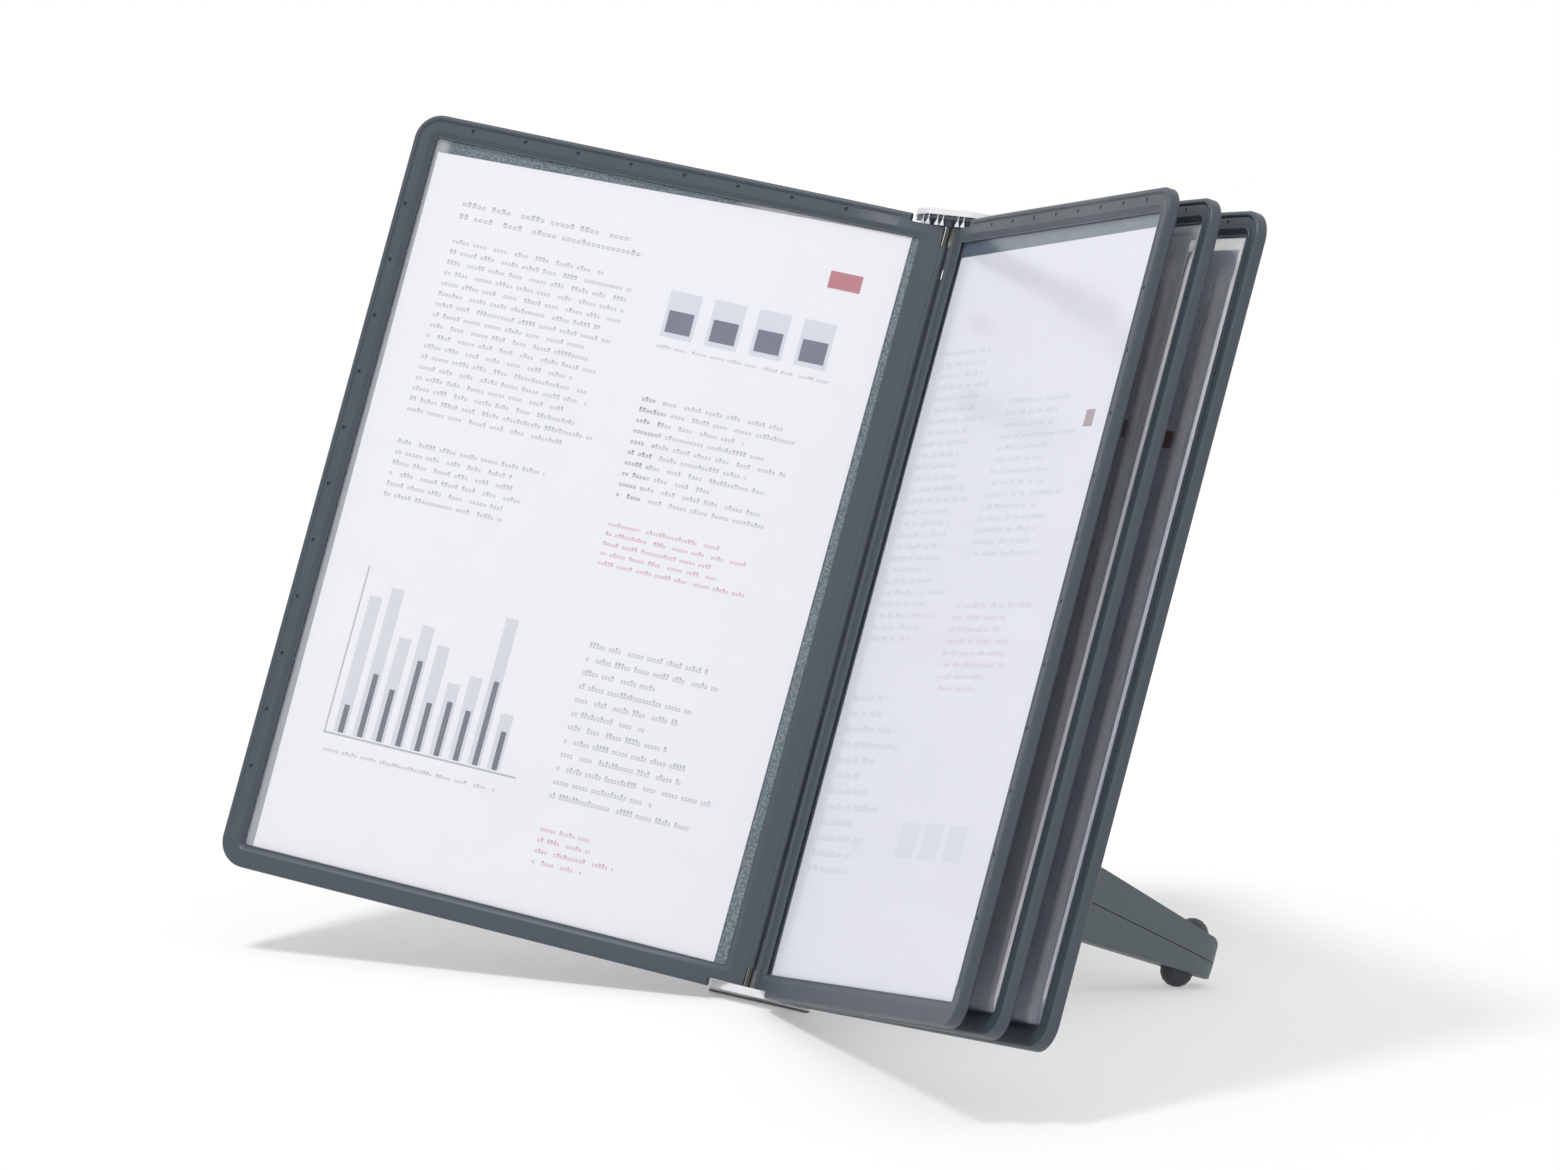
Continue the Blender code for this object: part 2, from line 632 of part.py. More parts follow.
def leg_hub():
    low, high = hub_levels()
    half = COLUMN_WIDTH / 2 + CLEARANCE + HUB_WALL
    front = COLUMN_FRONT - CLEARANCE - HUB_WALL
    rear = COLUMN_REAR + CLEARANCE + HUB_WALL
    sleeve = box((-half, front, low + EAR_THICKNESS / 2), (half, rear, high - EAR_THICKNESS / 2))
    ears = joined([
        prism(ear_outline(), low, low + EAR_THICKNESS),
        prism(ear_outline(), high - EAR_THICKNESS, high),
    ])
    rib_half = STOP_RIB_WIDTH / 2
    rib_rear = STOP_RIB_REAR_WIDTH / 2
    rib_end = LEG_PIVOT_BACK + LEG_THICKNESS / 2
    rib_turn = rib_end - (rib_rear - rib_half) * STOP_RIB_FLARE_SHARE
    rib_start = rear - HUB_WALL / 2
    rib_outline = [
        (-rib_half, rib_start), (rib_half, rib_start), (rib_half, rib_turn),
        (rib_rear, rib_end - CLEARANCE), (-rib_rear, rib_end - CLEARANCE), (-rib_half, rib_turn),
    ]
    rib = prism(rib_outline, low + EAR_THICKNESS / 2, high - EAR_THICKNESS / 2)
    channel = column_box(low - CUT_OVERRUN, high + CUT_OVERRUN, CLEARANCE)
    bores = []
    for side in (-1, 1):
        place = (side * LEG_PIVOT_SPACING / 2, LEG_PIVOT_BACK)
        bores.append(
            cylinder(place, LEG_PIN_RADIUS + CLEARANCE, low - CUT_OVERRUN, high + CUT_OVERRUN)
        )
    holes = [hub_screw_hole(level) for level in hub_screw_levels()]
    return cut(union(sleeve, ears, rib), channel, *bores, *holes)


def leg_pin():
    low, high = hub_levels()
    head = high + CLEARANCE
    top = head + LEG_PIN_HEAD_HEIGHT
    tail = low - LEG_PIN_TAIL
    profile = [(0.0, tail), (LEG_PIN_RADIUS, tail), (LEG_PIN_RADIUS, head)]
    profile += [(LEG_PIN_HEAD_RADIUS, head), (LEG_PIN_HEAD_RADIUS, top), (0.0, top)]
    return turned(profile)


def leg_pin_clip():
    low, _ = hub_levels()
    high_level = low - CLEARANCE
    ring = cylinder((0, 0), LEG_PIN_HEAD_RADIUS, high_level - CLIP_THICKNESS, high_level)
    bore_radius = LEG_PIN_RADIUS + CLIP_BORE_CLEARANCE
    bore = cylinder((0, 0), bore_radius, low - LEG_PIN_TAIL - CUT_OVERRUN, low)
    return cut(ring, bore)


def leg_tip_plan(radius):
    # The round end of a leg's plan outline, past the foot.
    tip = LEG_REACH + LEG_OVERHANG - LEG_THICKNESS / 2
    return circle((tip, 0.0), radius, ROUND_SIDES // 2, -pi / 2, pi, closed=False)


def leg_plan():
    # Plan outline of a leg: a bar with round ends, from the pivot to past the foot.
    radius = LEG_THICKNESS / 2
    root = circle((0.0, 0.0), radius, ROUND_SIDES // 2, pi / 2, pi, closed=False)
    return leg_tip_plan(radius) + root


def leg_hollow_plan():
    # The same bar inside the walls, with a square end before the pivot barrel.
    radius = LEG_THICKNESS / 2 - LEG_WALL
    return leg_tip_plan(radius) + [(LEG_ROOT_LENGTH, radius), (LEG_ROOT_LENGTH, -radius)]


def leg_edge(root, tip, reach):
    # Height at a distance from the pivot on the line from the root's end to the foot.
    share = (reach - LEG_ROOT_LENGTH) / (LEG_REACH - LEG_ROOT_LENGTH)
    return root + (tip - root) * share


def leg_side_front(inset):
    # Side outline of a leg from its root to the foot, tapering, with one rounded corner.
    end = LEG_REACH + LEG_OVERHANG
    start = LEG_ROOT_LENGTH
    bottom_root = LEG_ROOT_BOTTOM + inset
    top_root = LEG_ROOT_TOP - inset
    bottom_end = leg_edge(LEG_ROOT_BOTTOM, FOOT_UP, end) + inset
    top_end = leg_edge(LEG_ROOT_TOP, FOOT_UP + LEG_TIP_HEIGHT, end) - inset
    corner = LEG_TIP_CORNER
    steps = ROUND_SIDES // 4
    arc = circle((end - corner, top_end - corner), corner, steps, 0.0, pi / 2, closed=False)
    chamfer = corner * LEG_TIP_CHAMFER_SHARE
    flat = corner * LEG_TIP_FLAT_SHARE
    low_points = [(start, bottom_root), (end - chamfer, bottom_end), (end, top_end - flat)]
    return low_points + arc + [(start, top_root)]


def leg_side():
    # The whole side outline: level from behind the pivot to the root, then the taper.
    back = -LEG_THICKNESS / 2 - CUT_OVERRUN
    return leg_side_front(0.0) + [(back, LEG_ROOT_TOP), (back, LEG_ROOT_BOTTOM)]


def leg_seam(gap):
    # Outline of everything over the parting line; gap shifts it up or down.
    reach = LEG_REACH + LEG_OVERHANG + CUT_OVERRUN
    back = -LEG_THICKNESS
    root = LEG_ROOT_BOTTOM + (LEG_ROOT_TOP - LEG_ROOT_BOTTOM) * LEG_SEAM_SHARE
    tip = FOOT_UP + LEG_TIP_HEIGHT * LEG_SEAM_TIP_SHARE
    ceiling = LEG_ROOT_TOP + LEG_THICKNESS
    return [
        (back, leg_edge(root, tip, back) + gap),
        (reach, leg_edge(root, tip, reach) + gap),
        (reach, ceiling),
        (back, ceiling),
    ]


def dome(centre, radius):
    rings = SMALL_SIDES // 2
    profile = [
        (radius * sin(pi * i / rings), -radius * cos(pi * i / rings)) for i in range(1, rings)
    ]
    profile = [(0.0, -radius)] + profile + [(0.0, radius)]
    return moved(turned(profile, SMALL_SIDES), centre)


def foot_axis():
    # Lower and upper dome centres of the rubber foot, square to the leg's middle line.
    drop = (LEG_ROOT_TOP + LEG_ROOT_BOTTOM) / 2 - (FOOT_UP + LEG_TIP_HEIGHT / 2)
    run = LEG_REACH - LEG_ROOT_LENGTH
    length = hypot(run, drop)
    lower = Vector((LEG_REACH, 0.0, FOOT_UP))
    upper = lower + Vector((drop / length, 0.0, run / length)) * FOOT_DOME_SPACING
    return lower, upper


def foot_stem(radius, grow):
    lower, upper = foot_axis()
    along = (upper - lower).normalized()
    length = (upper - lower).length
    stem = cylinder((0, 0), radius, -grow, length + grow)
    turn = Vector((0, 0, 1)).rotation_difference(along).to_matrix().to_4x4()
    return moved(stem, lower, turn)


def leg_foot():
    lower, upper = foot_axis()
    body = union(dome(lower, FOOT_RADIUS), foot_stem(FOOT_STEM_RADIUS, 0.0))
    return union(body, dome(upper, FOOT_RADIUS))


def leg_shells():
    half = LEG_THICKNESS
    low = FOOT_UP - LEG_THICKNESS
    high = LEG_ROOT_TOP + LEG_THICKNESS
    blank = common(prism(leg_plan(), low, high), prism(leg_side(), -half, half, "y"))
    hollow = common(
        prism(leg_hollow_plan(), low, high),
        prism(leg_side_front(LEG_WALL), -half, half, "y"),
    )
    lower, upper = foot_axis()
    bore = cylinder(
        (0, 0), LEG_PIN_RADIUS + CLEARANCE,
        LEG_ROOT_BOTTOM - CUT_OVERRUN, LEG_ROOT_TOP + CUT_OVERRUN,
    )
    seats = [dome(lower, FOOT_RADIUS + CLEARANCE), dome(upper, FOOT_RADIUS + CLEARANCE)]
    shell = cut(blank, hollow, bore, *seats)
    gap = CLEARANCE / 2
    upper_shell = common(shell.copy(), prism(leg_seam(gap), -half, half, "y"))
    lower_shell = cut(shell, prism(leg_seam(-gap), -half, half, "y"))
    return upper_shell, lower_shell


def build_legs(spine, looks):
    upper_shell, lower_shell = leg_shells()
    foot = leg_foot()
    for name, side in (("left", -1), ("right", 1)):
        turn = pi / 2 - side * SPLAY
        place = (side * LEG_PIVOT_SPACING / 2, LEG_PIVOT_BACK, 0.0)
        hinge = empty(name + "_leg_hinge", place, turn, parent=spine)
        node(name + "_leg_upper_shell", upper_shell, looks["leg_plastic"], hinge)
        node(name + "_leg_lower_shell", lower_shell, looks["leg_plastic"], hinge)
        node(name + "_leg_foot", foot, looks["rubber"], hinge)
        pin = empty(name + "_pin_place", place, parent=spine)
        node(name + "_leg_pin", leg_pin(), looks["steel"], pin)
        node(name + "_leg_pin_clip", leg_pin_clip(), looks["steel"], pin)


def base_pad():
    # In the world frame: level under, and following the tilted bracket on top.
    slope = tan(LEAN)
    half = PAD_DEPTH / 2
    front_height = PAD_REAR_HEIGHT + PAD_DEPTH * slope
    outline = [(-half, 0.0), (half, 0.0), (half, PAD_REAR_HEIGHT), (-half, front_height)]
    return prism(outline, -PAD_LENGTH / 2, PAD_LENGTH / 2, "x")


def build_stand(spine, looks):
    node("spine_column", spine_column(), looks["steel"], spine)
    node("bottom_bracket", bottom_bracket(), looks["bracket_plastic"], spine)
    node("top_bracket", top_bracket(), looks["bracket_plastic"], spine)
    node("top_socket_strip", top_socket_strip(), looks["frame_plastic"], spine)
    node("leg_hub", leg_hub(), looks["leg_plastic"], spine)
    node("base_pad", base_pad(), looks["rubber"])
    block_face = COLUMN_REAR + CLEARANCE + BLOCK_WALL
    hub_face = COLUMN_FRONT - CLEARANCE - HUB_WALL
    hub_low, hub_high = hub_screw_levels()
    screws = {
        "lower_bracket_screw": screw(column_bottom() + BRACKET_SCREW_HEIGHT, block_face, 1),
        "upper_bracket_screw": screw(column_top() - BRACKET_SCREW_HEIGHT, block_face, 1),
        "lower_hub_screw": screw(hub_low, hub_face, -1),
        "upper_hub_screw": screw(hub_high, hub_face, -1),
    }
    for name, mesh in screws.items():
        node(name, mesh, looks["steel"], spine)


def main():
    clear_scene()
    looks = {
        "frame_plastic": material("frame_plastic", (0.085, 0.107, 0.125), 0.5),
        "leg_plastic": material("leg_plastic", (0.15, 0.18, 0.185), 0.5),
        "bracket_plastic": material("bracket_plastic", (0.80, 0.80, 0.82), 0.4),
        "clear_film": material("clear_film", (0.90, 0.93, 0.97), 0.15, 0.0, 0.25),
        "paper": material("paper", (0.93, 0.93, 0.95), 0.85),
        "rubber": material("rubber", (0.06, 0.065, 0.07), 0.75),
        "steel": material("steel", (0.55, 0.56, 0.58), 0.35, 0.9),
    }
    spine = empty("spine_frame", (0.0, DATUM_Y, DATUM_Z), tilt=-LEAN)
    build_stand(spine, looks)
    build_legs(spine, looks)
    build_panels(spine, looks)


main()
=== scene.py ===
# Looks of the desktop reference display stand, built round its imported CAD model.
# Lengths are metres in the model's own frame. A panel's own axes are X out from its hinge,
# Y square to the page, and Z up along the spine; its origin is on the hinge line, at the
# panel's bottom edge.

import json
import random
from math import cos, pi, radians, sin

import bmesh
import bpy
from mathutils import Matrix, Vector


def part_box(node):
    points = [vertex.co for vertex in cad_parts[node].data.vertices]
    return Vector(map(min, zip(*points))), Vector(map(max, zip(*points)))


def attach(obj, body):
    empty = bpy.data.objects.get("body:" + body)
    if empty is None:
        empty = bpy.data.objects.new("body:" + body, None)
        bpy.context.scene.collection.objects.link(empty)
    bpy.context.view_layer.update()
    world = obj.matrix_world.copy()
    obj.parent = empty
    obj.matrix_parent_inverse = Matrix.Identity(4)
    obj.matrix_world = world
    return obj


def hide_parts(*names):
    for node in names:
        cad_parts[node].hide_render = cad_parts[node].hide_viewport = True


MM = 0.001

# Camera, fitted to the outlines of the panels
CAMERA_PLACE = (1974.3 * MM, -1807.2 * MM, 577.0 * MM)
CAMERA_AIM = (-43.7 * MM, 51.4 * MM, 154.0 * MM)
CAMERA_LENS = 161.8
CAMERA_SENSOR = 36.0

# Panel frame, as in the CAD model
PANEL_HEIGHT = 315.0 * MM
PANEL_REACH = 233.5 * MM
BAR_WIDTH = 9.5 * MM
BAR_THICKNESS = 4.8 * MM
STILE_START = 1.2 * MM
STILE_THICKNESS = 2.7 * MM
TAPER_LENGTH = 34.0 * MM
LIP_THICKNESS = 2.6 * MM
CORNER_RADIUS = 11.0 * MM
WEB_THICKNESS = 1.7 * MM
WEB_WIDTH = 6.6 * MM
WEB_FLAT = 1.2 * MM
BARREL_RADIUS = 1.75 * MM
BARREL_SETBACK = 10.5 * MM
PIN_RADIUS = 1.1 * MM
PIN_SPANS = (("lower", 0.8 * MM, 22.5 * MM), ("upper", 292.5 * MM, 315.8 * MM))
PIN_GRIP = 12.3 * MM
PIN_BORE = 1.4 * MM
PIN_RELIEF = 1.7 * MM
HINGE_LIP_RADIUS = 0.85 * MM
HINGE_LIP_PLACE = (-1.55 * MM, -0.6 * MM, 0.0)
HINGE_LIP_END = 13.0 * MM
NOTCH_LENGTH = 16.5 * MM
NOTCH_DEPTH = 3.3 * MM
SLOT_THICKNESS = 1.5 * MM
SLOT_DEPTH = 5.7 * MM
SLOT_STILE_DEPTH = 2.2 * MM
OVERRUN = 2.0 * MM

# Spine frame: its origin, its lean, and the teeth under the top bracket's plate
LEAN = radians(20.5)
SPINE_ORIGIN = (0.0, -5.088 * MM, 2.939 * MM)
TOOTH_LOW = 312.1 * MM
TOOTH_NECK = 314.5 * MM
TOOTH_HIGH = 316.35 * MM
TOOTH_BASE = 2.3 * MM
TOOTH_TIP = 0.3 * MM
TOOTH_THICKNESS = 0.4 * MM
TOOTH_FRONT = -3.6 * MM
TOOTH_PLACES = (-6.7 * MM, -3.6 * MM, 4.9 * MM, 8.1 * MM)
TOOTH_SHARES = (-0.04, 0.42)
FRONT_REACH = 12.0 * MM
SHOULDER_REACH = 22.0 * MM

# Moulded detail of the bars
RIM_ROUND = 1.15 * MM
RIM_END = 1.75 * MM
GROOVE_START = 2.35 * MM
GROOVE_END = 2.75 * MM
GROOVE_DEPTH = 0.28 * MM
RIDGE_START = 6.0 * MM
RIDGE_END = 6.8 * MM
RIDGE_HEIGHT = 0.18 * MM
LIP_START = 8.75 * MM
CHANNEL_DEPTH_SHARE = 0.33
CHANNEL_START_REACH = 20.5 * MM
CHANNEL_START_HEIGHT = 14.0 * MM
CHANNEL_STEP = 0.8 * MM
DIMPLE_PITCH = 23.6 * MM
SIDE_DIMPLE_START = 40.4 * MM
SIDE_DIMPLES = 11
TOP_DIMPLE_START = 208.6 * MM
TOP_DIMPLES = 8
DIMPLE_ACROSS = 4.1 * MM
DIMPLE_RADIUS = 0.85 * MM
DIMPLE_DEPTH = 0.7 * MM
CORNER_STEPS = 14
RIM_STEPS = 6
SHARP_ANGLE = radians(38)
BEVEL_ANGLE = radians(40)

# Pocket films
FILM_SPACING = 1.1 * MM
FILM_THICKNESS = 0.2 * MM
FILM_BULGE = 0.45 * MM
FILM_BULGE_WIDTH = 14.0 * MM
FILM_EDGE = 0.7 * MM
WELD_WIDTH = 5.6 * MM
WELD_CELL_SCALE = 900.0
FILM_GLOSS = 0.02
RIDGE_HALF_WIDTH = 6.0 * MM
RIDGE_RISE = 0.7 * MM
RIDGE_TOP_GAP = 9.5 * MM
RIDGE_ZONE = (198.0 * MM, 223.9 * MM)
RIDGE_COLUMNS = 37
FILM_COLUMN_STEP = 7.0 * MM
FILM_ROW_STEP = 9.0 * MM
RIDGED_ROW_STEP = 4.0 * MM
# The haze band along the ridge and the haze beside it are a painted sheen: a whitish diffuse
# colour, lit by the lamps, stands in for the film's gloss there
SHEEN_HAZE_HALF_WIDTH = 6.5 * MM
SHEEN_HAZE_TOP_HALF_WIDTH = 9.0 * MM
SHEEN_HAZE_WIDENING = (200.0 * MM, 280.0 * MM)
SHEEN_HAZE_SHARPNESS = 2.0
SHEEN_HAZE_TINT = (250, 250, 252)
RIDGE_SHEEN_HAZE = 0.6
RIDGE_SHEEN_HAZE_GROWTH = (20.0 * MM, 250.0 * MM)
RIDGE_SHEEN_HAZE_END = 12.0 * MM
BESIDE_SHEEN_START = (186.0 * MM, 200.0 * MM)
BESIDE_SHEEN_GROWTH = (200.0 * MM, 285.0 * MM)
BESIDE_SHEEN_TOP_GAIN = 1.5
FULL_HAZE = 0.12
SWELL_RISE = 1.3 * MM
SWELL_START = 219.5 * MM
SWELL_CREST = 222.4 * MM
SWELL_END = 223.8 * MM
EDGE_HAZE = 0.42
EDGE_HAZE_WIDTH = 0.3 * MM
# A bluer tint for the loose film's reflections: a painted blue-grey reflection
LOOSE_FILM_SHEEN_TINT = (214, 220, 232)

# Weld of the left page: where its dark stretches start and end, counted from the hinge
PAINTED_REFLECTION_WELD_START = (76.0 * MM, 100.0 * MM)
PAINTED_REFLECTION_WELD_END = (216.5 * MM, 220.5 * MM)
PAINTED_REFLECTION_STILE_END = (16.5 * MM, 19.0 * MM)
FROST_FADE = (190.0 * MM, 222.0 * MM)
PALE_FROST = (196, 199, 203)
GREY_FROST = (158, 164, 170)
# Partly the weld's own tint and partly a painted reflection of the dark frame and slot seen in it
WELD_TINT_AND_PAINTED_REFLECTION = (58, 84, 96)

# Light: a high softbox a little to the reader's right, and an even fill
KEY_PLACE = (0.27, -1.43, 3.03)
KEY_AIM = (0.0, 0.0, 0.15)
KEY_SIZE = 0.55
KEY_POWER = 42.0
FILL = 0.79
FLOOR_BRIGHTNESS = 1.04
# Painted light: towards the right the floor mixes in plain white, which thins the stand's shadow
FLOOR_PAINTED_LIGHT = 0.45
FLOOR_LEAST_PAINTED_LIGHT = 0.02
FLOOR_PAINTED_LIGHT_ZONE = (-0.1, 0.15)
FLOOR_FADE = (0.9, 2.0)
FLOOR_TINT = (238, 238, 240)
FLOOR_SIZE = 40.0

# Paper sheets: corners as (out from the hinge, up) in millimetres
SHEET_THICKNESS = 0.25 * MM
SHEET_WAVE = 0.16 * MM
SHEET_COLUMNS = 40
SHEET_ROWS = 56
SHEET_CORNERS = {
    "panel_1": ((16.0, 7.6), (220.2, 4.4), (222.3, 300.2), (14.0, 305.6)),
    "panel_2": ((14.2, 4.6), (226.1, 4.6), (224.8, 300.4), (13.0, 299.5)),
    "panel_3": ((13.0, 4.6), (225.9, 4.6), (215.3, 301.6), (10.9, 303.0)),
    "panel_4": ((11.6, 4.6), (222.6, 4.6), (219.2, 300.8), (11.6, 300.8)),
}

# Depth share of the plastic's fine texture
PLASTIC_GRAIN = 0.035

# Share of light that each face of a sheet lets through
PAPER_GLOW = 0.12

# Paper of the side panels, and how strong its print looks; the darker, bluer paper of panel_3 and
# panel_4 is painted shade between the pages
SIDE_PAPERS = (
    ("panel_2", (240, 240, 247), 0.4),
    ("panel_3", (222, 228, 242), 0.9),
    ("panel_4", (222, 228, 242), 0.9),
)

# Print: a word's pitch in letter cells and its shift per line, and the shape of a letter
# as shares of its cell and of its line
WORD_CELLS = 6.0
LINE_SHIFT = 3.0
LETTER_FOOT = 0.65
LETTER_WIDTH = 0.66
HOLLOW_ACROSS = (0.18, 0.48)
HOLLOW_UP = (0.45, 0.58)

PANELS = ("panel_1", "panel_2", "panel_3", "panel_4")
# panel_2 and panel_3 get a painted shaded copy of the weld, panel_4 a painted lit copy
WELDS = {
    "panel_1": "left_weld",
    "panel_2": "painted_shade_weld",
    "panel_3": "painted_shade_weld",
    "panel_4": "painted_light_weld",
}
# Welds of the side pages: two tints, and the least and most of what they cover
# One weld in two painted copies: a shaded dark one and a lit pale one
SIDE_WELDS = (
    ("painted_shade_weld", (62, 86, 106), (96, 114, 130), (0.78, 0.86)),
    ("painted_light_weld", (176, 180, 182), (200, 202, 203), (0.22, 0.3)),
)
# Panels whose loose film stands up in a ridge: its distance from the hinge at the bottom,
# how far it leans outwards per length, the share of its haze, a painted sheen, that its lower
# end keeps, and the painted sheen haze of the film beside it
RIDGES = {
    "panel_3": (220.5 * MM, -0.045, 0.45, 0.08),
    "panel_4": (215.1 * MM, -0.0095, 0.85, 0.055),
}


class Shader:
    """Short names for the nodes of one material."""

    def __init__(self, name):
        self.material = bpy.data.materials.new(name)
        self.material.use_nodes = True
        self.tree = self.material.node_tree
        self.principled = self.tree.nodes["Principled BSDF"]
        self.output = self.tree.nodes["Material Output"]

    def node(self, kind, **settings):
        made = self.tree.nodes.new(kind)
        for key, value in settings.items():
            setattr(made, key, value)
        return made

    def link(self, source, target):
        self.tree.links.new(source, target)

    def put(self, value, socket):
        if isinstance(value, bpy.types.NodeSocket):
            self.link(value, socket)
        else:
            socket.default_value = value

    def math(self, operation, a, b=0.0, clamp=False):
        made = self.node("ShaderNodeMath", operation=operation, use_clamp=clamp)
        self.put(a, made.inputs[0])
        self.put(b, made.inputs[1])
        return made.outputs[0]

    def mix(self, share, a, b):
        made = self.node("ShaderNodeMix", data_type="RGBA")
        self.put(share, made.inputs[0])
        self.put(a, made.inputs[6])
        self.put(b, made.inputs[7])
        return made.outputs[2]

    def map(self, value, low, high, out_low=0.0, out_high=1.0):
        made = self.node("ShaderNodeMapRange", interpolation_type="SMOOTHSTEP")
        self.put(value, made.inputs[0])
        self.put(low, made.inputs[1])
        self.put(high, made.inputs[2])
        self.put(out_low, made.inputs[3])
        self.put(out_high, made.inputs[4])
        return made.outputs[0]

    def place(self):
        """The point's place in its panel's own axes, or in the model's frame."""
        return self.node("ShaderNodeAttribute", attribute_name="place").outputs["Vector"]

    def parts(self, vector):
        made = self.node("ShaderNodeSeparateXYZ")
        self.link(vector, made.inputs[0])
        return made.outputs

    def noise(self, vector, scale, detail=2.0, roughness=0.5):
        made = self.node("ShaderNodeTexNoise")
        self.link(vector, made.inputs["Vector"])
        made.inputs["Scale"].default_value = scale
        made.inputs["Detail"].default_value = detail
        made.inputs["Roughness"].default_value = roughness
        return made.outputs[0]

    def bump(self, height, strength, distance):
        made = self.node("ShaderNodeBump")
        self.link(height, made.inputs["Height"])
        made.inputs["Strength"].default_value = strength
        made.inputs["Distance"].default_value = distance
        self.link(made.outputs[0], self.principled.inputs["Normal"])

    def clear_to_light(self):
        """Lets shadow rays through, as thin clear film casts next to no shadow."""
        path = self.node("ShaderNodeLightPath")
        clear = self.node("ShaderNodeBsdfTransparent")
        clear.inputs["Color"].default_value = (0.97, 0.97, 0.98, 1.0)
        mix = self.node("ShaderNodeMixShader")
        self.link(path.outputs["Is Shadow Ray"], mix.inputs[0])
        self.link(self.principled.outputs[0], mix.inputs[1])
        self.link(clear.outputs[0], mix.inputs[2])
        self.link(mix.outputs[0], self.output.inputs["Surface"])

    def set(self, **values):
        for key, value in values.items():
            self.put(value, self.principled.inputs[key.replace("_", " ")])


def colour(red, green, blue):
    """A colour given as seen on a screen, from 0 to 255, in linear light."""
    def linear(value):
        share = value / 255
        return share / 12.92 if share <= 0.04045 else ((share + 0.055) / 1.055) ** 2.4

    return (linear(red), linear(green), linear(blue), 1.0)


def plastic(name, base, roughness, mottle=0.08):
    """Moulded plastic with a fine spark-eroded texture and slightly uneven gloss."""
    made = Shader(name)
    place = made.place()
    cloud = made.noise(place, 28.0, 3.0)
    darker = tuple(c * (1 - mottle) for c in base[:3]) + (1.0,)
    lighter = tuple(min(1.0, c * (1 + mottle)) for c in base[:3]) + (1.0,)
    fine = made.noise(place, 2600.0, 2.0, 0.6)
    shade = made.math("ADD", made.math("MULTIPLY", cloud, 0.7), made.math("MULTIPLY", fine, 0.3))
    made.set(Base_Color=made.mix(shade, darker, lighter))
    made.set(Roughness=made.map(cloud, 0.2, 0.8, roughness - 0.05, roughness + 0.05))
    made.bump(fine, PLASTIC_GRAIN, 0.0004)
    return made.material


def steel_material(name, dull, bright, roughness):
    """Drawn steel, with fine streaks along its length."""
    made = Shader(name)
    place = made.place()
    stretched = made.node("ShaderNodeMapping")
    made.link(place, stretched.inputs["Vector"])
    stretched.inputs["Scale"].default_value = (1.0, 1.0, 0.04)
    streaks = made.noise(stretched.outputs[0], 3200.0, 2.0)
    made.set(Metallic=1.0, Roughness=made.map(streaks, 0.3, 0.7, roughness, roughness + 0.14))
    made.set(Base_Color=made.mix(streaks, dull, bright))
    made.bump(streaks, 0.05, 0.0002)
    return made.material


def rubber_material(name, darker, lighter):
    made = Shader(name)
    place = made.place()
    cloud = made.noise(place, 90.0, 3.0)
    fine = made.noise(place, 4200.0, 2.0, 0.6)
    made.set(Base_Color=made.mix(cloud, darker, lighter))
    made.set(Roughness=made.map(cloud, 0.2, 0.8, 0.5, 0.65))
    made.bump(fine, 0.06, 0.0003)
    return made.material


def clear_film(made, tint, gloss, grazing, roughness, cover=None):
    """Clear film: see-through, with gloss that grows towards grazing angles and a faint haze.

    A loose film also has a hazy edge, and cover is the haze of its ridge, a painted sheen.
    """
    place = made.place()
    turned = made.node("ShaderNodeLayerWeight").outputs["Facing"]
    sheen = made.math("MULTIPLY", made.math("POWER", turned, 5.0), grazing)
    haze = made.noise(place, 60.0, 3.0)
    veil = made.map(haze, 0.3, 0.7, 0.012, 0.03)
    made.set(Base_Color=colour(*tint), Metallic=1.0, Roughness=roughness)
    if cover is not None:
        reach = made.parts(place)[0]
        edge = made.map(reach, SWELL_CREST - EDGE_HAZE_WIDTH, SWELL_CREST, 0.0, EDGE_HAZE)
        veil = made.math("ADD", made.math("ADD", veil, edge), cover)
    made.set(Alpha=made.math("ADD", made.math("ADD", sheen, gloss), veil, clamp=True))
    made.clear_to_light()
    waves = made.noise(place, 16.0, 1.0)
    made.bump(waves, 0.25, 0.002)


def film_material():
    made = Shader("clear_film")
    clear_film(made, (236, 240, 246), FILM_GLOSS, 0.55, 0.16)
    return made.material


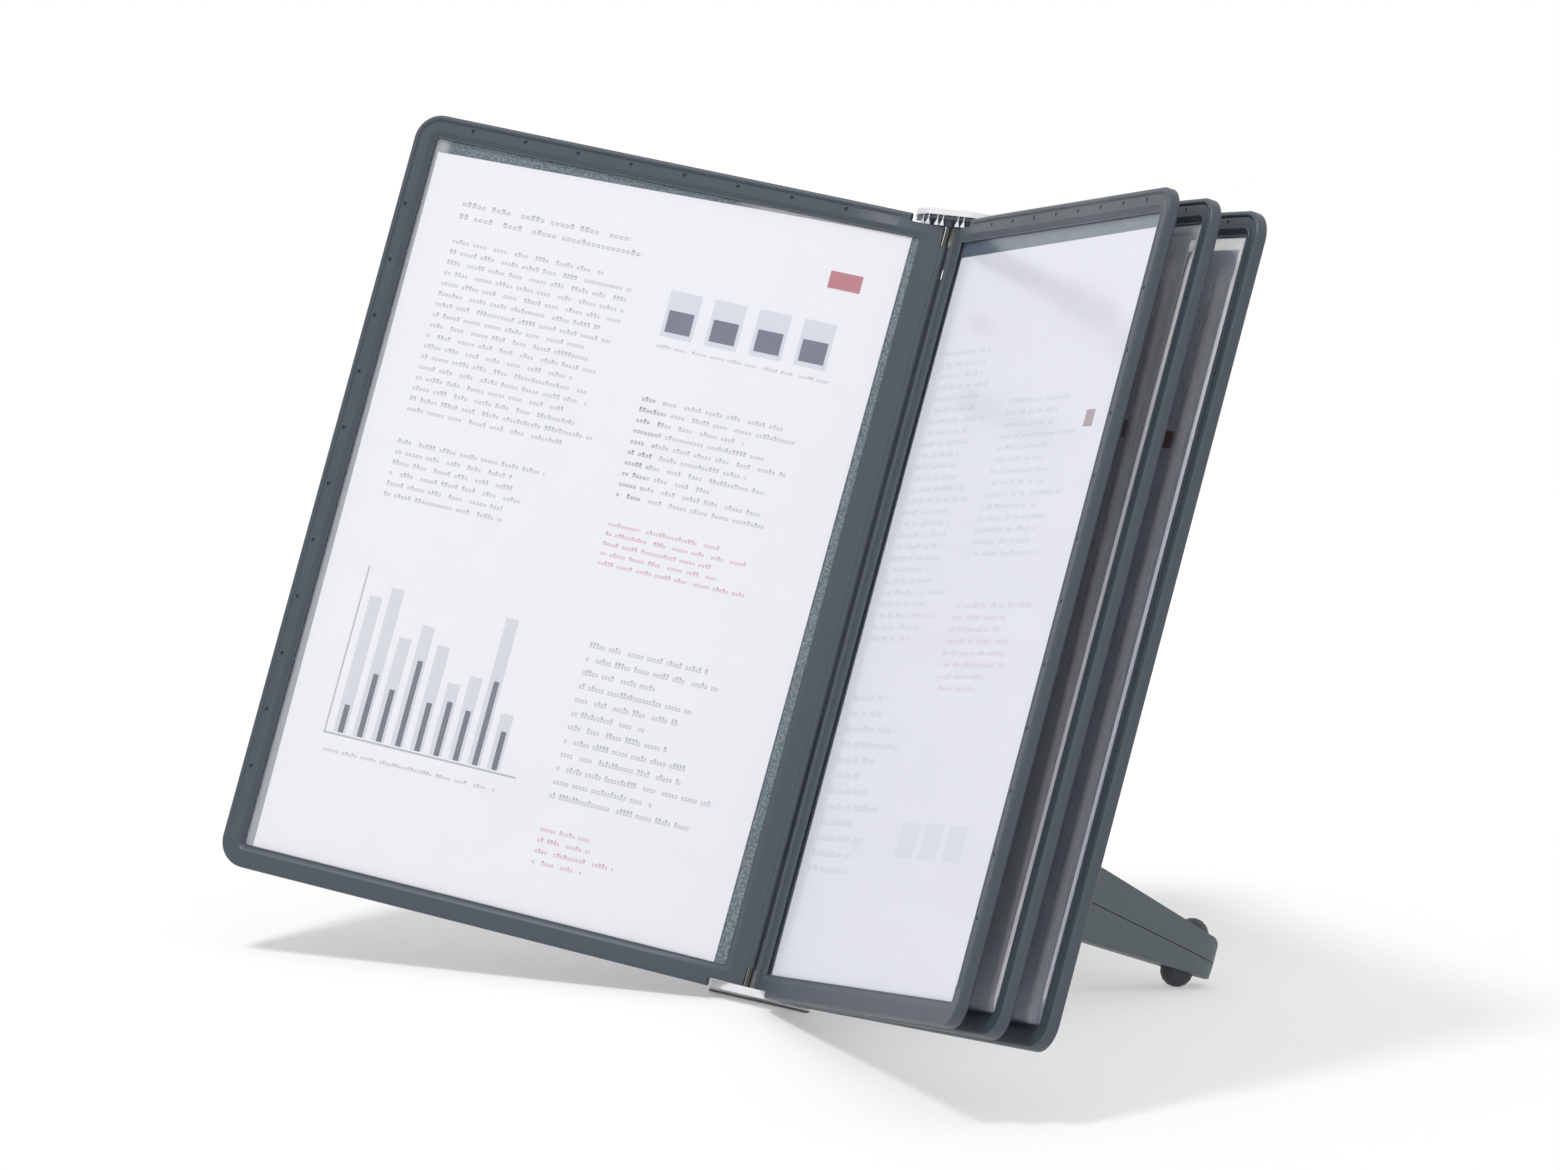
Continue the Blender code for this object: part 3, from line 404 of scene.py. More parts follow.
def loose_film_material(name):
    """Film whose ridge beside the outer bar carries a painted sheen: a whitish haze there scatters
    the lamps' light.
    """
    made = Shader("loose_film_" + name)
    x, _, z = made.parts(made.place())
    start, lean, low_share, beside = RIDGES[name]
    away = made.math("SUBTRACT", made.math("SUBTRACT", x, start), made.math("MULTIPLY", z, lean))
    width = made.map(z, *SHEEN_HAZE_WIDENING, SHEEN_HAZE_HALF_WIDTH, SHEEN_HAZE_TOP_HALF_WIDTH)
    away = made.math("DIVIDE", made.math("ABSOLUTE", away), width)
    near = made.math("SUBTRACT", 1.0, away, clamp=True)
    ridge = made.math("POWER", near, SHEEN_HAZE_SHARPNESS)
    top = PANEL_HEIGHT - BAR_WIDTH - RIDGE_TOP_GAP
    ridge = made.math("MULTIPLY", ridge, made.map(z, top - RIDGE_SHEEN_HAZE_END, top, 1.0, 0.0))
    ridge = made.math("MULTIPLY", ridge, made.map(z, *RIDGE_SHEEN_HAZE_GROWTH, low_share, 1.0))
    growth = made.map(z, *BESIDE_SHEEN_GROWTH, 1.0, BESIDE_SHEEN_TOP_GAIN)
    beside = made.math("MULTIPLY", made.map(x, *BESIDE_SHEEN_START, 0.0, beside), growth)
    cover = made.math("ADD", beside, made.math("MULTIPLY", ridge, RIDGE_SHEEN_HAZE))
    clear_film(made, LOOSE_FILM_SHEEN_TINT, 0.05, 0.5, 0.3, cover)
    # Painted sheen: where the cover is, the film turns from clear metal to a whitish diffuse haze
    scatter = made.map(cover, 0.0, FULL_HAZE)
    made.set(Base_Color=made.mix(scatter, colour(*LOOSE_FILM_SHEEN_TINT), colour(*SHEEN_HAZE_TINT)))
    made.set(Metallic=made.math("SUBTRACT", 1.0, scatter))
    return made.material


def sparkle(made, place):
    """Fine embossed cells of a film weld."""
    cells = made.node("ShaderNodeTexVoronoi")
    made.link(place, cells.inputs["Vector"])
    cells.inputs["Scale"].default_value = WELD_CELL_SCALE
    made.bump(cells.outputs["Distance"], 0.4, 0.0004)
    return made.map(cells.outputs["Distance"], 0.15, 0.75)


def left_weld_material():
    """The weld of the left page's pocket: dark along most of its top and beside the stile."""
    made = Shader("left_weld")
    place = made.place()
    out, _, up = made.parts(place)
    cells = sparkle(made, place)
    drift = made.noise(place, 45.0, 3.0, 0.6)
    edge = made.math("ADD", out, made.math("MULTIPLY", made.math("SUBTRACT", drift, 0.5), 0.05))
    # The dark stretches are partly the weld's own tint and partly a painted reflection of the dark
    # frame and slot
    start = made.map(edge, *PAINTED_REFLECTION_WELD_START)
    end = made.map(out, *PAINTED_REFLECTION_WELD_END, 1.0, 0.0)
    near_stile = made.map(out, *PAINTED_REFLECTION_STILE_END, 1.0, 0.0)
    share = made.math("MAXIMUM", made.math("MULTIPLY", start, end), near_stile)
    share = made.math("MULTIPLY", share, made.map(cells, 0.0, 1.0, 0.72, 1.0))
    frost = made.mix(made.map(out, *FROST_FADE), colour(*PALE_FROST), colour(*GREY_FROST))
    made.set(Base_Color=made.mix(share, frost, colour(*WELD_TINT_AND_PAINTED_REFLECTION)))
    made.set(Roughness=0.35, Alpha=made.map(share, 0.0, 1.0, 0.74, 0.97))
    return made.material


def side_weld_material(name, dark, light, cover):
    """The weld of a side page's pocket, between two tints and two strengths."""
    made = Shader(name)
    cells = sparkle(made, made.place())
    made.set(Base_Color=made.mix(cells, colour(*dark), colour(*light)))
    made.set(Roughness=0.35, Alpha=made.map(cells, 0.0, 1.0, *cover))
    return made.material


class Print:
    """Generic print on a sheet, worked out from the place on the page in millimetres."""

    def __init__(self, shader, reverse):
        self.shader = shader
        x, _, z = shader.parts(shader.place())
        across = shader.math("MULTIPLY", x, 1000.0)
        if reverse:
            across = shader.math("SUBTRACT", PANEL_REACH / MM, across)
        self.x = across
        self.z = shader.math("MULTIPLY", z, 1000.0)
        self.layers = []

    def between(self, value, low, high):
        over = self.shader.math("GREATER_THAN", value, low)
        under = self.shader.math("LESS_THAN", value, high)
        return self.shader.math("MULTIPLY", over, under)

    def box(self, x0, x1, z0, z1):
        across = self.between(self.x, x0, x1)
        return self.shader.math("MULTIPLY", across, self.between(self.z, z0, z1))

    def random(self, a, b, seed):
        joint = self.shader.node("ShaderNodeCombineXYZ")
        self.shader.put(a, joint.inputs[0])
        self.shader.put(b, joint.inputs[1])
        joint.inputs[2].default_value = seed
        made = self.shader.node("ShaderNodeTexWhiteNoise", noise_dimensions="3D")
        self.shader.link(joint.outputs[0], made.inputs["Vector"])
        return made.outputs["Value"]

    def text(self, x0, x1, top, lines, pitch, letter=1.5, ragged=0.3, seed=1.0):
        """Rows of small letter-like strokes with word gaps and ragged line ends."""
        s = self.shader
        row = s.math("DIVIDE", s.math("SUBTRACT", top, self.z), pitch)
        line = s.math("FLOOR", row)
        height = s.math("FRACT", row)
        column = s.math("DIVIDE", s.math("SUBTRACT", self.x, x0), letter)
        cell = s.math("FLOOR", column)
        inside = s.math("FRACT", column)
        shifted = s.math("ADD", cell, s.math("MULTIPLY", line, LINE_SHIFT))
        word = s.math("FLOOR", s.math("DIVIDE", shifted, WORD_CELLS))
        place_in_word = s.math("MODULO", shifted, WORD_CELLS)
        gap = s.math("ADD", 3.2, s.math("MULTIPLY", self.random(word, line, seed), 2.0))
        solid = s.math("LESS_THAN", place_in_word, gap)
        tall = s.math("GREATER_THAN", self.random(cell, line, seed + 0.5), 0.7)
        low = s.math("SUBTRACT", 0.38, s.math("MULTIPLY", tall, 0.14))
        body = self.between(height, low, LETTER_FOOT)
        stroke = s.math("LESS_THAN", inside, LETTER_WIDTH)
        across = self.between(inside, *HOLLOW_ACROSS)
        hollow = s.math("MULTIPLY", across, self.between(height, *HOLLOW_UP))
        body = s.math("MULTIPLY", body, s.math("SUBTRACT", 1.0, hollow))
        length = s.math("MULTIPLY", self.random(line, 0.0, seed), (x1 - x0) * ragged)
        end = s.math("LESS_THAN", self.x, s.math("SUBTRACT", x1, length))
        mark = s.math("MULTIPLY", s.math("MULTIPLY", solid, body), s.math("MULTIPLY", stroke, end))
        return s.math("MULTIPLY", mark, self.box(x0, x1, top - lines * pitch, top))

    def tiles(self, x0, z0, count, pitch, width, height):
        """A row of tiles, left to right."""
        s = self.shader
        column = s.math("DIVIDE", s.math("SUBTRACT", self.x, x0), pitch)
        inside = s.math("MULTIPLY", s.math("FRACT", column), pitch)
        row = self.box(x0, x0 + count * pitch, z0, z0 + height)
        return s.math("MULTIPLY", s.math("LESS_THAN", inside, width), row)

    def bars(self, x0, z0, count, pitch, width, height, seed):
        """A bar chart whose bars have random heights."""
        s = self.shader
        column = s.math("DIVIDE", s.math("SUBTRACT", self.x, x0), pitch)
        top = s.math("MULTIPLY_ADD", self.random(s.math("FLOOR", column), 0.0, seed), height * 0.8)
        top.node.inputs[2].default_value = z0 + height * 0.2
        inside = s.math("MULTIPLY", s.math("FRACT", column), pitch)
        under = s.math("LESS_THAN", self.z, top)
        body = s.math("MULTIPLY", s.math("LESS_THAN", inside, width), under)
        return s.math("MULTIPLY", body, self.box(x0, x0 + count * pitch, z0, z0 + height))

    def add(self, mask, ink, strength=1.0):
        self.layers.append((self.shader.math("MULTIPLY", mask, strength), ink))

    def over(self, paper):
        shade = paper
        for mask, ink in self.layers:
            shade = self.shader.mix(mask, shade, ink)
        return shade


GREY_INK = colour(168, 171, 180)
NAVY_INK = colour(58, 63, 88)
PALE_INK = colour(214, 218, 228)
RED_INK = colour(176, 52, 70)
DEEP_RED_INK = colour(126, 8, 40)
PINK_INK = colour(206, 140, 148)


def front_print(page, faint):
    """The reading side of the left page: tab, columns, a row of tiles and a bar chart."""
    page.add(page.text(28, 112, 284, 2, 5.2, 2.2, 0.2, 3.0), GREY_INK, faint)
    page.add(page.text(28, 112, 268, 17, 4.4, 1.55, 0.22, 5.0), GREY_INK, faint)
    page.add(page.text(28, 96, 184, 6, 4.4, 1.55, 0.3, 7.0), GREY_INK, faint)
    page.add(page.text(126, 200, 222, 10, 4.4, 1.55, 0.45, 11.0), GREY_INK, faint)
    page.add(page.text(126, 137, 222, 10, 4.4, 1.55, 0.0, 11.0), NAVY_INK, faint * 0.6)
    page.add(page.text(126, 196, 170, 5, 4.0, 1.4, 0.3, 13.0), PINK_INK, faint)
    page.add(page.tiles(126, 246, 4, 19.5, 14.0, 19.0), PALE_INK, faint)
    page.add(page.tiles(127.5, 248, 4, 19.5, 11.0, 9.0), NAVY_INK, faint)
    page.add(page.text(126, 204, 243.5, 1, 3.2, 1.3, 0.05, 17.0), GREY_INK, faint)
    page.add(page.box(190, 204, 279, 286), RED_INK, faint)
    page.add(page.bars(34, 62, 9, 8.6, 5.6, 62, 19.0), GREY_INK, faint * 0.45)
    page.add(page.bars(36, 62, 9, 8.6, 2.4, 40, 23.0), NAVY_INK, faint)
    page.add(page.box(30, 116, 60.6, 61.4), GREY_INK, faint)
    page.add(page.box(30, 30.7, 60.6, 130), GREY_INK, faint)
    page.add(page.text(32, 112, 56, 1, 3.6, 1.4, 0.05, 29.0), GREY_INK, faint)
    page.add(page.text(132, 200, 122, 12, 5.6, 1.4, 0.6, 31.0), GREY_INK, faint)
    page.add(page.text(132, 170, 46, 4, 4.4, 1.4, 0.5, 37.0), PINK_INK, faint)


def side_print(page, faint):
    """A plainer page: two columns of text, a small tab and a few rows at the foot."""
    page.add(page.text(24, 96, 262, 26, 4.6, 1.6, 0.4, 41.0), GREY_INK, faint)
    page.add(page.text(112, 196, 240, 14, 4.6, 1.6, 0.35, 43.0), GREY_INK, faint)
    page.add(page.text(112, 196, 160, 8, 4.6, 1.6, 0.5, 47.0), PINK_INK, faint)
    page.add(page.text(24, 90, 124, 12, 6.2, 1.6, 0.5, 53.0), GREY_INK, faint)
    page.add(page.box(198.5, 207.5, 225.5, 232), DEEP_RED_INK, min(1.0, faint * 1.6))
    page.add(page.tiles(118, 60, 3, 26.0, 20.0, 14.0), PALE_INK, faint)


def paper_material(name, base, printed, faint, reverse=False):
    """Uncoated paper with a generic print; faint is the print's strength."""
    made = Shader(name)
    place = made.place()
    fibre = made.noise(place, 900.0, 4.0, 0.65)
    cloud = made.noise(place, 22.0, 2.0)
    darker = tuple(c * 0.965 for c in base[:3]) + (1.0,)
    tone = made.math("ADD", made.math("MULTIPLY", fibre, 0.5), made.math("MULTIPLY", cloud, 0.5))
    page = Print(made, reverse)
    printed(page, faint)
    sheet = page.over(made.mix(tone, darker, base))
    made.set(Base_Color=sheet, Roughness=0.8, Specular_IOR_Level=0.3)
    made.bump(fibre, 0.05, 0.0002)
    through = made.node("ShaderNodeBsdfTranslucent")
    made.link(sheet, through.inputs["Color"])
    mix = made.node("ShaderNodeMixShader")
    mix.inputs[0].default_value = PAPER_GLOW
    made.link(made.principled.outputs[0], mix.inputs[1])
    made.link(through.outputs[0], mix.inputs[2])
    made.link(mix.outputs[0], made.output.inputs["Surface"])
    return made.material


def note_place(mesh):
    """Keeps each vertex's own place for the materials."""
    held = mesh.attributes.get("place") or mesh.attributes.new("place", "FLOAT_VECTOR", "POINT")
    flat = [c for v in mesh.vertices for c in v.co]
    held.data.foreach_set("vector", flat)


def finished(name, mesh, body, materials, matrix):
    """A new piece from a mesh in its own axes, placed in the model's frame."""
    note_place(mesh)
    mesh.transform(matrix)
    for look in materials:
        mesh.materials.append(look)
    mesh.shade_smooth()
    mesh.set_sharp_from_angle(angle=SHARP_ANGLE)
    made = bpy.data.objects.new(name, mesh)
    bpy.context.scene.collection.objects.link(made)
    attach(made, body)
    return made


def mesh_of(bm, name):
    bmesh.ops.recalc_face_normals(bm, faces=bm.faces)
    mesh = bpy.data.meshes.new(name)
    bm.to_mesh(mesh)
    bm.free()
    return mesh


def box_mesh(low, high):
    bm = bmesh.new()
    bmesh.ops.create_cube(bm, size=1.0)
    centre = (Vector(low) + Vector(high)) / 2
    size = Vector(high) - Vector(low)
    for vertex in bm.verts:
        vertex.co = centre + Vector(a * b for a, b in zip(vertex.co, size))
    return mesh_of(bm, "box")


def prism_mesh(outline, low, high):
    """A closed prism along Z over an outline of (x, y) points."""
    bm = bmesh.new()
    ends = [[bm.verts.new((x, y, z)) for x, y in outline] for z in (low, high)]
    bm.faces.new(ends[0])
    bm.faces.new(ends[1])
    for i in range(len(outline)):
        j = (i + 1) % len(outline)
        bm.faces.new((ends[0][i], ends[0][j], ends[1][j], ends[1][i]))
    return mesh_of(bm, "prism")


def turned_mesh(profile, sides):
    """A closed turned solid from (radius, height) points, starting and ending on the axis."""
    bm = bmesh.new()
    chain = [bm.verts.new((radius, 0.0, height)) for radius, height in profile]
    edges = [bm.edges.new(pair) for pair in zip(chain, chain[1:])]
    bmesh.ops.spin(
        bm,
        geom=chain + edges,
        axis=(0, 0, 1),
        cent=(0, 0, 0),
        angle=2 * pi,
        steps=sides,
        use_merge=True,
    )
    bmesh.ops.remove_doubles(bm, verts=bm.verts, dist=1e-6)
    return mesh_of(bm, "turned")


def joined(meshes):
    bm = bmesh.new()
    for mesh in meshes:
        bm.from_mesh(mesh)
    return mesh_of(bm, "joined")


def combined(mesh, operation, *tools):
    base = bpy.data.objects.new("base", mesh)
    bpy.context.scene.collection.objects.link(base)
    helpers = []
    for tool in tools:
        helper = bpy.data.objects.new("tool", tool)
        bpy.context.scene.collection.objects.link(helper)
        step = base.modifiers.new("step", "BOOLEAN")
        step.operation = operation
        step.solver = "EXACT"
        step.object = helper
        helpers.append(helper)
    bpy.context.view_layer.update()
    graph = bpy.context.evaluated_depsgraph_get()
    result = bpy.data.meshes.new_from_object(base.evaluated_get(graph))
    for helper in helpers + [base]:
        bpy.data.objects.remove(helper, do_unlink=True)
    return result


def panel_space(name):
    """The matrix of a panel's own axes, and the sign of its Y towards the reader."""
    hinge = next(j for j in frame["joints"] if j["child"] == name)
    up = -Vector(hinge["axis"]).normalized()
    origin = Vector(hinge["pos_m"])
    node = frame["nodes"][name + "_frame"]
    low = min((v.co - origin).dot(up) for v in node.data.vertices)
    origin = origin + up * low
    corners = [Vector(c) for film in ("front", "back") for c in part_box(f"{name}_{film}_film")]
    out = sum(corners, Vector()) / len(corners) - origin
    out = (out - up * out.dot(up)).normalized()
    across = up.cross(out)
    matrix = Matrix((out, across, up)).transposed().to_4x4()
    matrix.translation = origin
    return matrix, (1 if across.y < 0 else -1)


def bar_half_thickness(reach):
    share = min(max((reach - STILE_START - BAR_WIDTH) / TAPER_LENGTH, 0.0), 1.0)
    return (STILE_THICKNESS + (BAR_THICKNESS - STILE_THICKNESS) * share) / 2


def bar_section(reach, depth):
    """Points across a bar as (distance from the outer edge, half thickness)."""
    rim = bar_half_thickness(reach)
    lip = LIP_THICKNESS / 2
    channel = rim - (rim - lip) * CHANNEL_DEPTH_SHARE * depth
    groove = channel - GROOVE_DEPTH * depth
    ridge = channel + RIDGE_HEIGHT * depth
    points = []
    for i in range(RIM_STEPS + 1):
        angle = pi / 2 * i / RIM_STEPS
        points.append((RIM_ROUND * (1 - cos(angle)), rim - RIM_ROUND * (1 - sin(angle))))
    fillet = (GROOVE_START - RIM_END) / 3
    points += [
        (RIM_END, rim),
        (RIM_END + fillet, rim - (rim - groove) * 0.2),
        (GROOVE_START - fillet, groove + (rim - groove) * 0.2),
        (GROOVE_START, groove),
        (GROOVE_END - fillet, groove),
        (GROOVE_END, channel),
        (RIDGE_START, channel),
        (RIDGE_START + fillet, ridge),
        (RIDGE_END, ridge),
        (RIDGE_END + fillet, channel - (channel - lip) * 0.06),
        (LIP_START - fillet, lip + (channel - lip) * 0.1),
        (LIP_START, lip - GROOVE_DEPTH * 0.5),
        (BAR_WIDTH - fillet, lip - GROOVE_DEPTH * 0.3),
        (BAR_WIDTH, lip - GROOVE_DEPTH * 1.5),
    ]
    return points


def frame_stations():
    """Places round the panel as (outer point, inner point, channel depth share)."""
    far = PANEL_REACH - CORNER_RADIUS
    top = PANEL_HEIGHT
    inner = CORNER_RADIUS - BAR_WIDTH
    stile = STILE_START + BAR_WIDTH
    taper_end = stile + TAPER_LENGTH
    stations = [((STILE_START, 0.0), (stile, BAR_WIDTH), 0.0)]
    stations.append(((taper_end, 0.0), (taper_end, BAR_WIDTH), 0.0))
    for i in range(CORNER_STEPS + 1):
        angle = -pi / 2 + pi / 2 * i / CORNER_STEPS
        arm = (cos(angle), sin(angle))
        outer_point = (far + CORNER_RADIUS * arm[0], CORNER_RADIUS + CORNER_RADIUS * arm[1])
        inner_point = (far + inner * arm[0], CORNER_RADIUS + inner * arm[1])
        stations.append((outer_point, inner_point, 0.0))
    edge = PANEL_REACH - BAR_WIDTH
    level = CHANNEL_START_HEIGHT + CHANNEL_STEP
    stations.append(((PANEL_REACH, level), (edge, level), 0.0))
    level += CHANNEL_STEP
    stations.append(((PANEL_REACH, level), (edge, level), 1.0))
    for i in range(CORNER_STEPS + 1):
        angle = pi / 2 * i / CORNER_STEPS
        arm = (cos(angle), sin(angle))
        level = top - CORNER_RADIUS
        outer_point = (far + CORNER_RADIUS * arm[0], level + CORNER_RADIUS * arm[1])
        inner_point = (far + inner * arm[0], level + inner * arm[1])
        stations.append((outer_point, inner_point, 1.0))
    stations.append(((taper_end, top), (taper_end, top - BAR_WIDTH), 1.0))
    start = CHANNEL_START_REACH
    stations.append(((start + CHANNEL_STEP, top), (start + CHANNEL_STEP, top - BAR_WIDTH), 1.0))
    stations.append(((start, top), (start, top - BAR_WIDTH), 0.0))
    stations.append(((STILE_START, top), (stile, top - BAR_WIDTH), 0.0))
    return stations


def frame_ring():
    bm = bmesh.new()
    rings = []
    for outer, inner, depth in frame_stations():
        front, back = [], []
        for across, half in bar_section((outer[0] + inner[0]) / 2, depth):
            share = across / BAR_WIDTH
            reach = outer[0] + (inner[0] - outer[0]) * share
            level = outer[1] + (inner[1] - outer[1]) * share
            front.append(bm.verts.new((reach, -half, level)))
            back.append(bm.verts.new((reach, half, level)))
        rings.append(front + back[::-1])
    for ring, following in zip(rings, rings[1:] + rings[:1]):
        for i in range(len(ring)):
            j = (i + 1) % len(ring)
            bm.faces.new((ring[i], ring[j], following[j], following[i]))
    return mesh_of(bm, "ring")


def dimple_places():
    side = PANEL_REACH - DIMPLE_ACROSS
    top = PANEL_HEIGHT - DIMPLE_ACROSS
    places = [(side, SIDE_DIMPLE_START + DIMPLE_PITCH * i) for i in range(SIDE_DIMPLES)]
    places += [(TOP_DIMPLE_START - DIMPLE_PITCH * i, top) for i in range(TOP_DIMPLES)]
    return places


def dimples():
    """Small pockets in the floor of the channel, on both faces of the panel."""
    half = bar_half_thickness(PANEL_REACH)
    floor = half - (half - LIP_THICKNESS / 2) * CHANNEL_DEPTH_SHARE
    cutters = []
    for reach, level in dimple_places():
        for side in (-1, 1):
            profile = [
                (0.0, -DIMPLE_DEPTH),
                (DIMPLE_RADIUS * 0.7, -DIMPLE_DEPTH),
                (DIMPLE_RADIUS, -DIMPLE_DEPTH * 0.5),
                (DIMPLE_RADIUS, OVERRUN),
                (0.0, OVERRUN),
            ]
            cutter = turned_mesh(profile, 12)
            turn = Matrix.Rotation(-side * pi / 2, 4, "X")
            cutter.transform(Matrix.Translation((reach, side * floor, level)) @ turn)
            cutters.append(cutter)
    return joined(cutters)


def rod(radius, low, high, sides=40):
    return turned_mesh([(0.0, low), (radius, low), (radius, high), (0.0, high)], sides)


def frame_mesh(lipped):
    """The moulded frame of one panel, in the panel's own axes, with or without a hinge lip."""
    wide = BAR_THICKNESS
    web = WEB_THICKNESS / 2
    top = PANEL_HEIGHT
    barrel_high = top - BARREL_SETBACK
    stile = STILE_START + BAR_WIDTH
    slot = box_mesh(
        (stile - SLOT_STILE_DEPTH, -SLOT_THICKNESS / 2, BAR_WIDTH - SLOT_DEPTH),
        (PANEL_REACH - BAR_WIDTH + SLOT_DEPTH, SLOT_THICKNESS / 2, top - BAR_WIDTH + SLOT_DEPTH),
    )
    web_end = STILE_START + WEB_WIDTH
    slope = [(-OVERRUN, web), (STILE_START + WEB_FLAT, web), (web_end, STILE_THICKNESS / 2)]
    slope += [(web_end, wide), (-OVERRUN, wide)]
    cutters = [
        slot,
        prism_mesh(slope, -OVERRUN, top + OVERRUN),
        prism_mesh([(x, -y) for x, y in slope], -OVERRUN, top + OVERRUN),
        box_mesh((-OVERRUN, -wide, -OVERRUN), (NOTCH_LENGTH, wide, NOTCH_DEPTH)),
        box_mesh((-OVERRUN, -wide, top - NOTCH_DEPTH), (NOTCH_LENGTH, wide, top + OVERRUN)),
        box_mesh((-OVERRUN, -wide, -OVERRUN), (PIN_RELIEF, wide, BARREL_SETBACK)),
        box_mesh((-OVERRUN, -wide, barrel_high), (PIN_RELIEF, wide, top + OVERRUN)),
        dimples(),
    ]
    body = combined(frame_ring(), "DIFFERENCE", *cutters)
    body = combined(body, "UNION", rod(BARREL_RADIUS, BARREL_SETBACK, barrel_high))
    if lipped:
        lip = rod(HINGE_LIP_RADIUS, BARREL_SETBACK + HINGE_LIP_END, barrel_high - HINGE_LIP_END, 20)
        lip.transform(Matrix.Translation(HINGE_LIP_PLACE))
        body = combined(body, "UNION", lip)
    bores = [
        rod(PIN_BORE, BARREL_SETBACK - OVERRUN, BARREL_SETBACK + PIN_GRIP),
        rod(PIN_BORE, barrel_high - PIN_GRIP, barrel_high + OVERRUN),
    ]
    return combined(body, "DIFFERENCE", *bores)


def levels(low, high, marks, step):
    """Grid lines from low to high that keep every mark, about a step apart."""
    stops = [low] + [m for m in marks if low < m < high] + [high]
    lines = []
    for start, end in zip(stops, stops[1:]):
        count = max(1, round((end - start) / step))
        lines += [start + (end - start) * i / count for i in range(count)]
    return lines + [high]


def slab(columns, rows, place, thickness, look):
    """A thin closed slab over a grid; place gives a point and look a material index."""
    bm = bmesh.new()
    sides = []
    for side in (-1, 1):
        grid = []
        for z in rows:
            line = []
            for x in columns:
                at = place(x, z)
                line.append(bm.verts.new((at[0], at[1] + side * thickness / 2, at[2])))
            grid.append(line)
        sides.append(grid)
    for side, grid in enumerate(sides):
        for j in range(len(rows) - 1):
            for i in range(len(columns) - 1):
                low, high = grid[j], grid[j + 1]
                face = bm.faces.new((low[i], low[i + 1], high[i + 1], high[i]))
                face.material_index = look(side, i, j)
    rim = [(j, 0) for j in range(len(rows))]
    rim += [(len(rows) - 1, i) for i in range(1, len(columns))]
    rim += [(j, len(columns) - 1) for j in range(len(rows) - 2, -1, -1)]
    rim += [(0, i) for i in range(len(columns) - 2, 0, -1)]
    for (j, i), (b, a) in zip(rim, rim[1:] + rim[:1]):
        bm.faces.new((sides[0][j][i], sides[0][b][a], sides[1][b][a], sides[1][j][i]))
    return mesh_of(bm, "slab")


def rise(value, width):
    share = min(max(value / width, 0.0), 1.0)
    return share * share * (3 - 2 * share)


def ridge_rise(name, x, z):
    """The soft ridge where a loose film stands up beside the outer bar."""
    start, lean, _, _ = RIDGES[name]
    across = max(0.0, 1 - abs(x - start - lean * z) / RIDGE_HALF_WIDTH)
    end = min(z - BAR_WIDTH, PANEL_HEIGHT - BAR_WIDTH - RIDGE_TOP_GAP - z)
    return RIDGE_RISE * sin(pi / 2 * across) ** 1.5 * rise(end, RIDGE_HALF_WIDTH)


def swell_rise(x, z):
    """The loose film stands up to the height of the outer bar just inside it."""
    up = rise(x - SWELL_START, SWELL_CREST - SWELL_START)
    down = rise(SWELL_END - x, SWELL_END - SWELL_CREST)
    end = min(z - BAR_WIDTH, PANEL_HEIGHT - BAR_WIDTH - RIDGE_TOP_GAP - z)
    return SWELL_RISE * up * down * rise(end, RIDGE_HALF_WIDTH)


def film_mesh(name, side, welded, ridged):
    """One film of a pocket, tucked into the frame's slot and a little full in the window."""
    low = STILE_START + BAR_WIDTH - SLOT_STILE_DEPTH + FILM_EDGE
    high = PANEL_REACH - BAR_WIDTH + SLOT_DEPTH - FILM_EDGE
    bottom = BAR_WIDTH - SLOT_DEPTH + FILM_EDGE
    top = PANEL_HEIGHT - bottom
    window = (STILE_START + BAR_WIDTH, PANEL_REACH - BAR_WIDTH, BAR_WIDTH, PANEL_HEIGHT - BAR_WIDTH)
    marks = (window[0], window[0] + WELD_WIDTH, window[1] - WELD_WIDTH, window[1])
    heights = (window[2], window[2] + WELD_WIDTH, window[3] - WELD_WIDTH, window[3])
    columns = levels(low, high, marks, FILM_COLUMN_STEP)
    if ridged:
        start, end = RIDGE_ZONE
        kept = [c for c in columns if not start < c < end]
        fine = [start + (end - start) * i / RIDGE_COLUMNS for i in range(RIDGE_COLUMNS + 1)]
        columns = sorted(kept + fine)
    rows = levels(bottom, top, heights, RIDGED_ROW_STEP if ridged else FILM_ROW_STEP)

    def place(x, z):
        inside = min(x - window[0], window[1] - x, z - window[2], window[3] - z)
        full = FILM_BULGE * rise(inside, FILM_BULGE_WIDTH)
        if ridged:
            full = max(full + ridge_rise(name, x, z), swell_rise(x, z))
        return x, side * (FILM_SPACING / 2 + full), z

    def look(_side, i, j):
        x = (columns[i] + columns[i + 1]) / 2
        z = (rows[j] + rows[j + 1]) / 2
        inside = marks[1] < x < marks[2] and heights[1] < z < heights[2]
        return 0 if inside or not welded else 1

    return slab(columns, rows, place, FILM_THICKNESS, look)


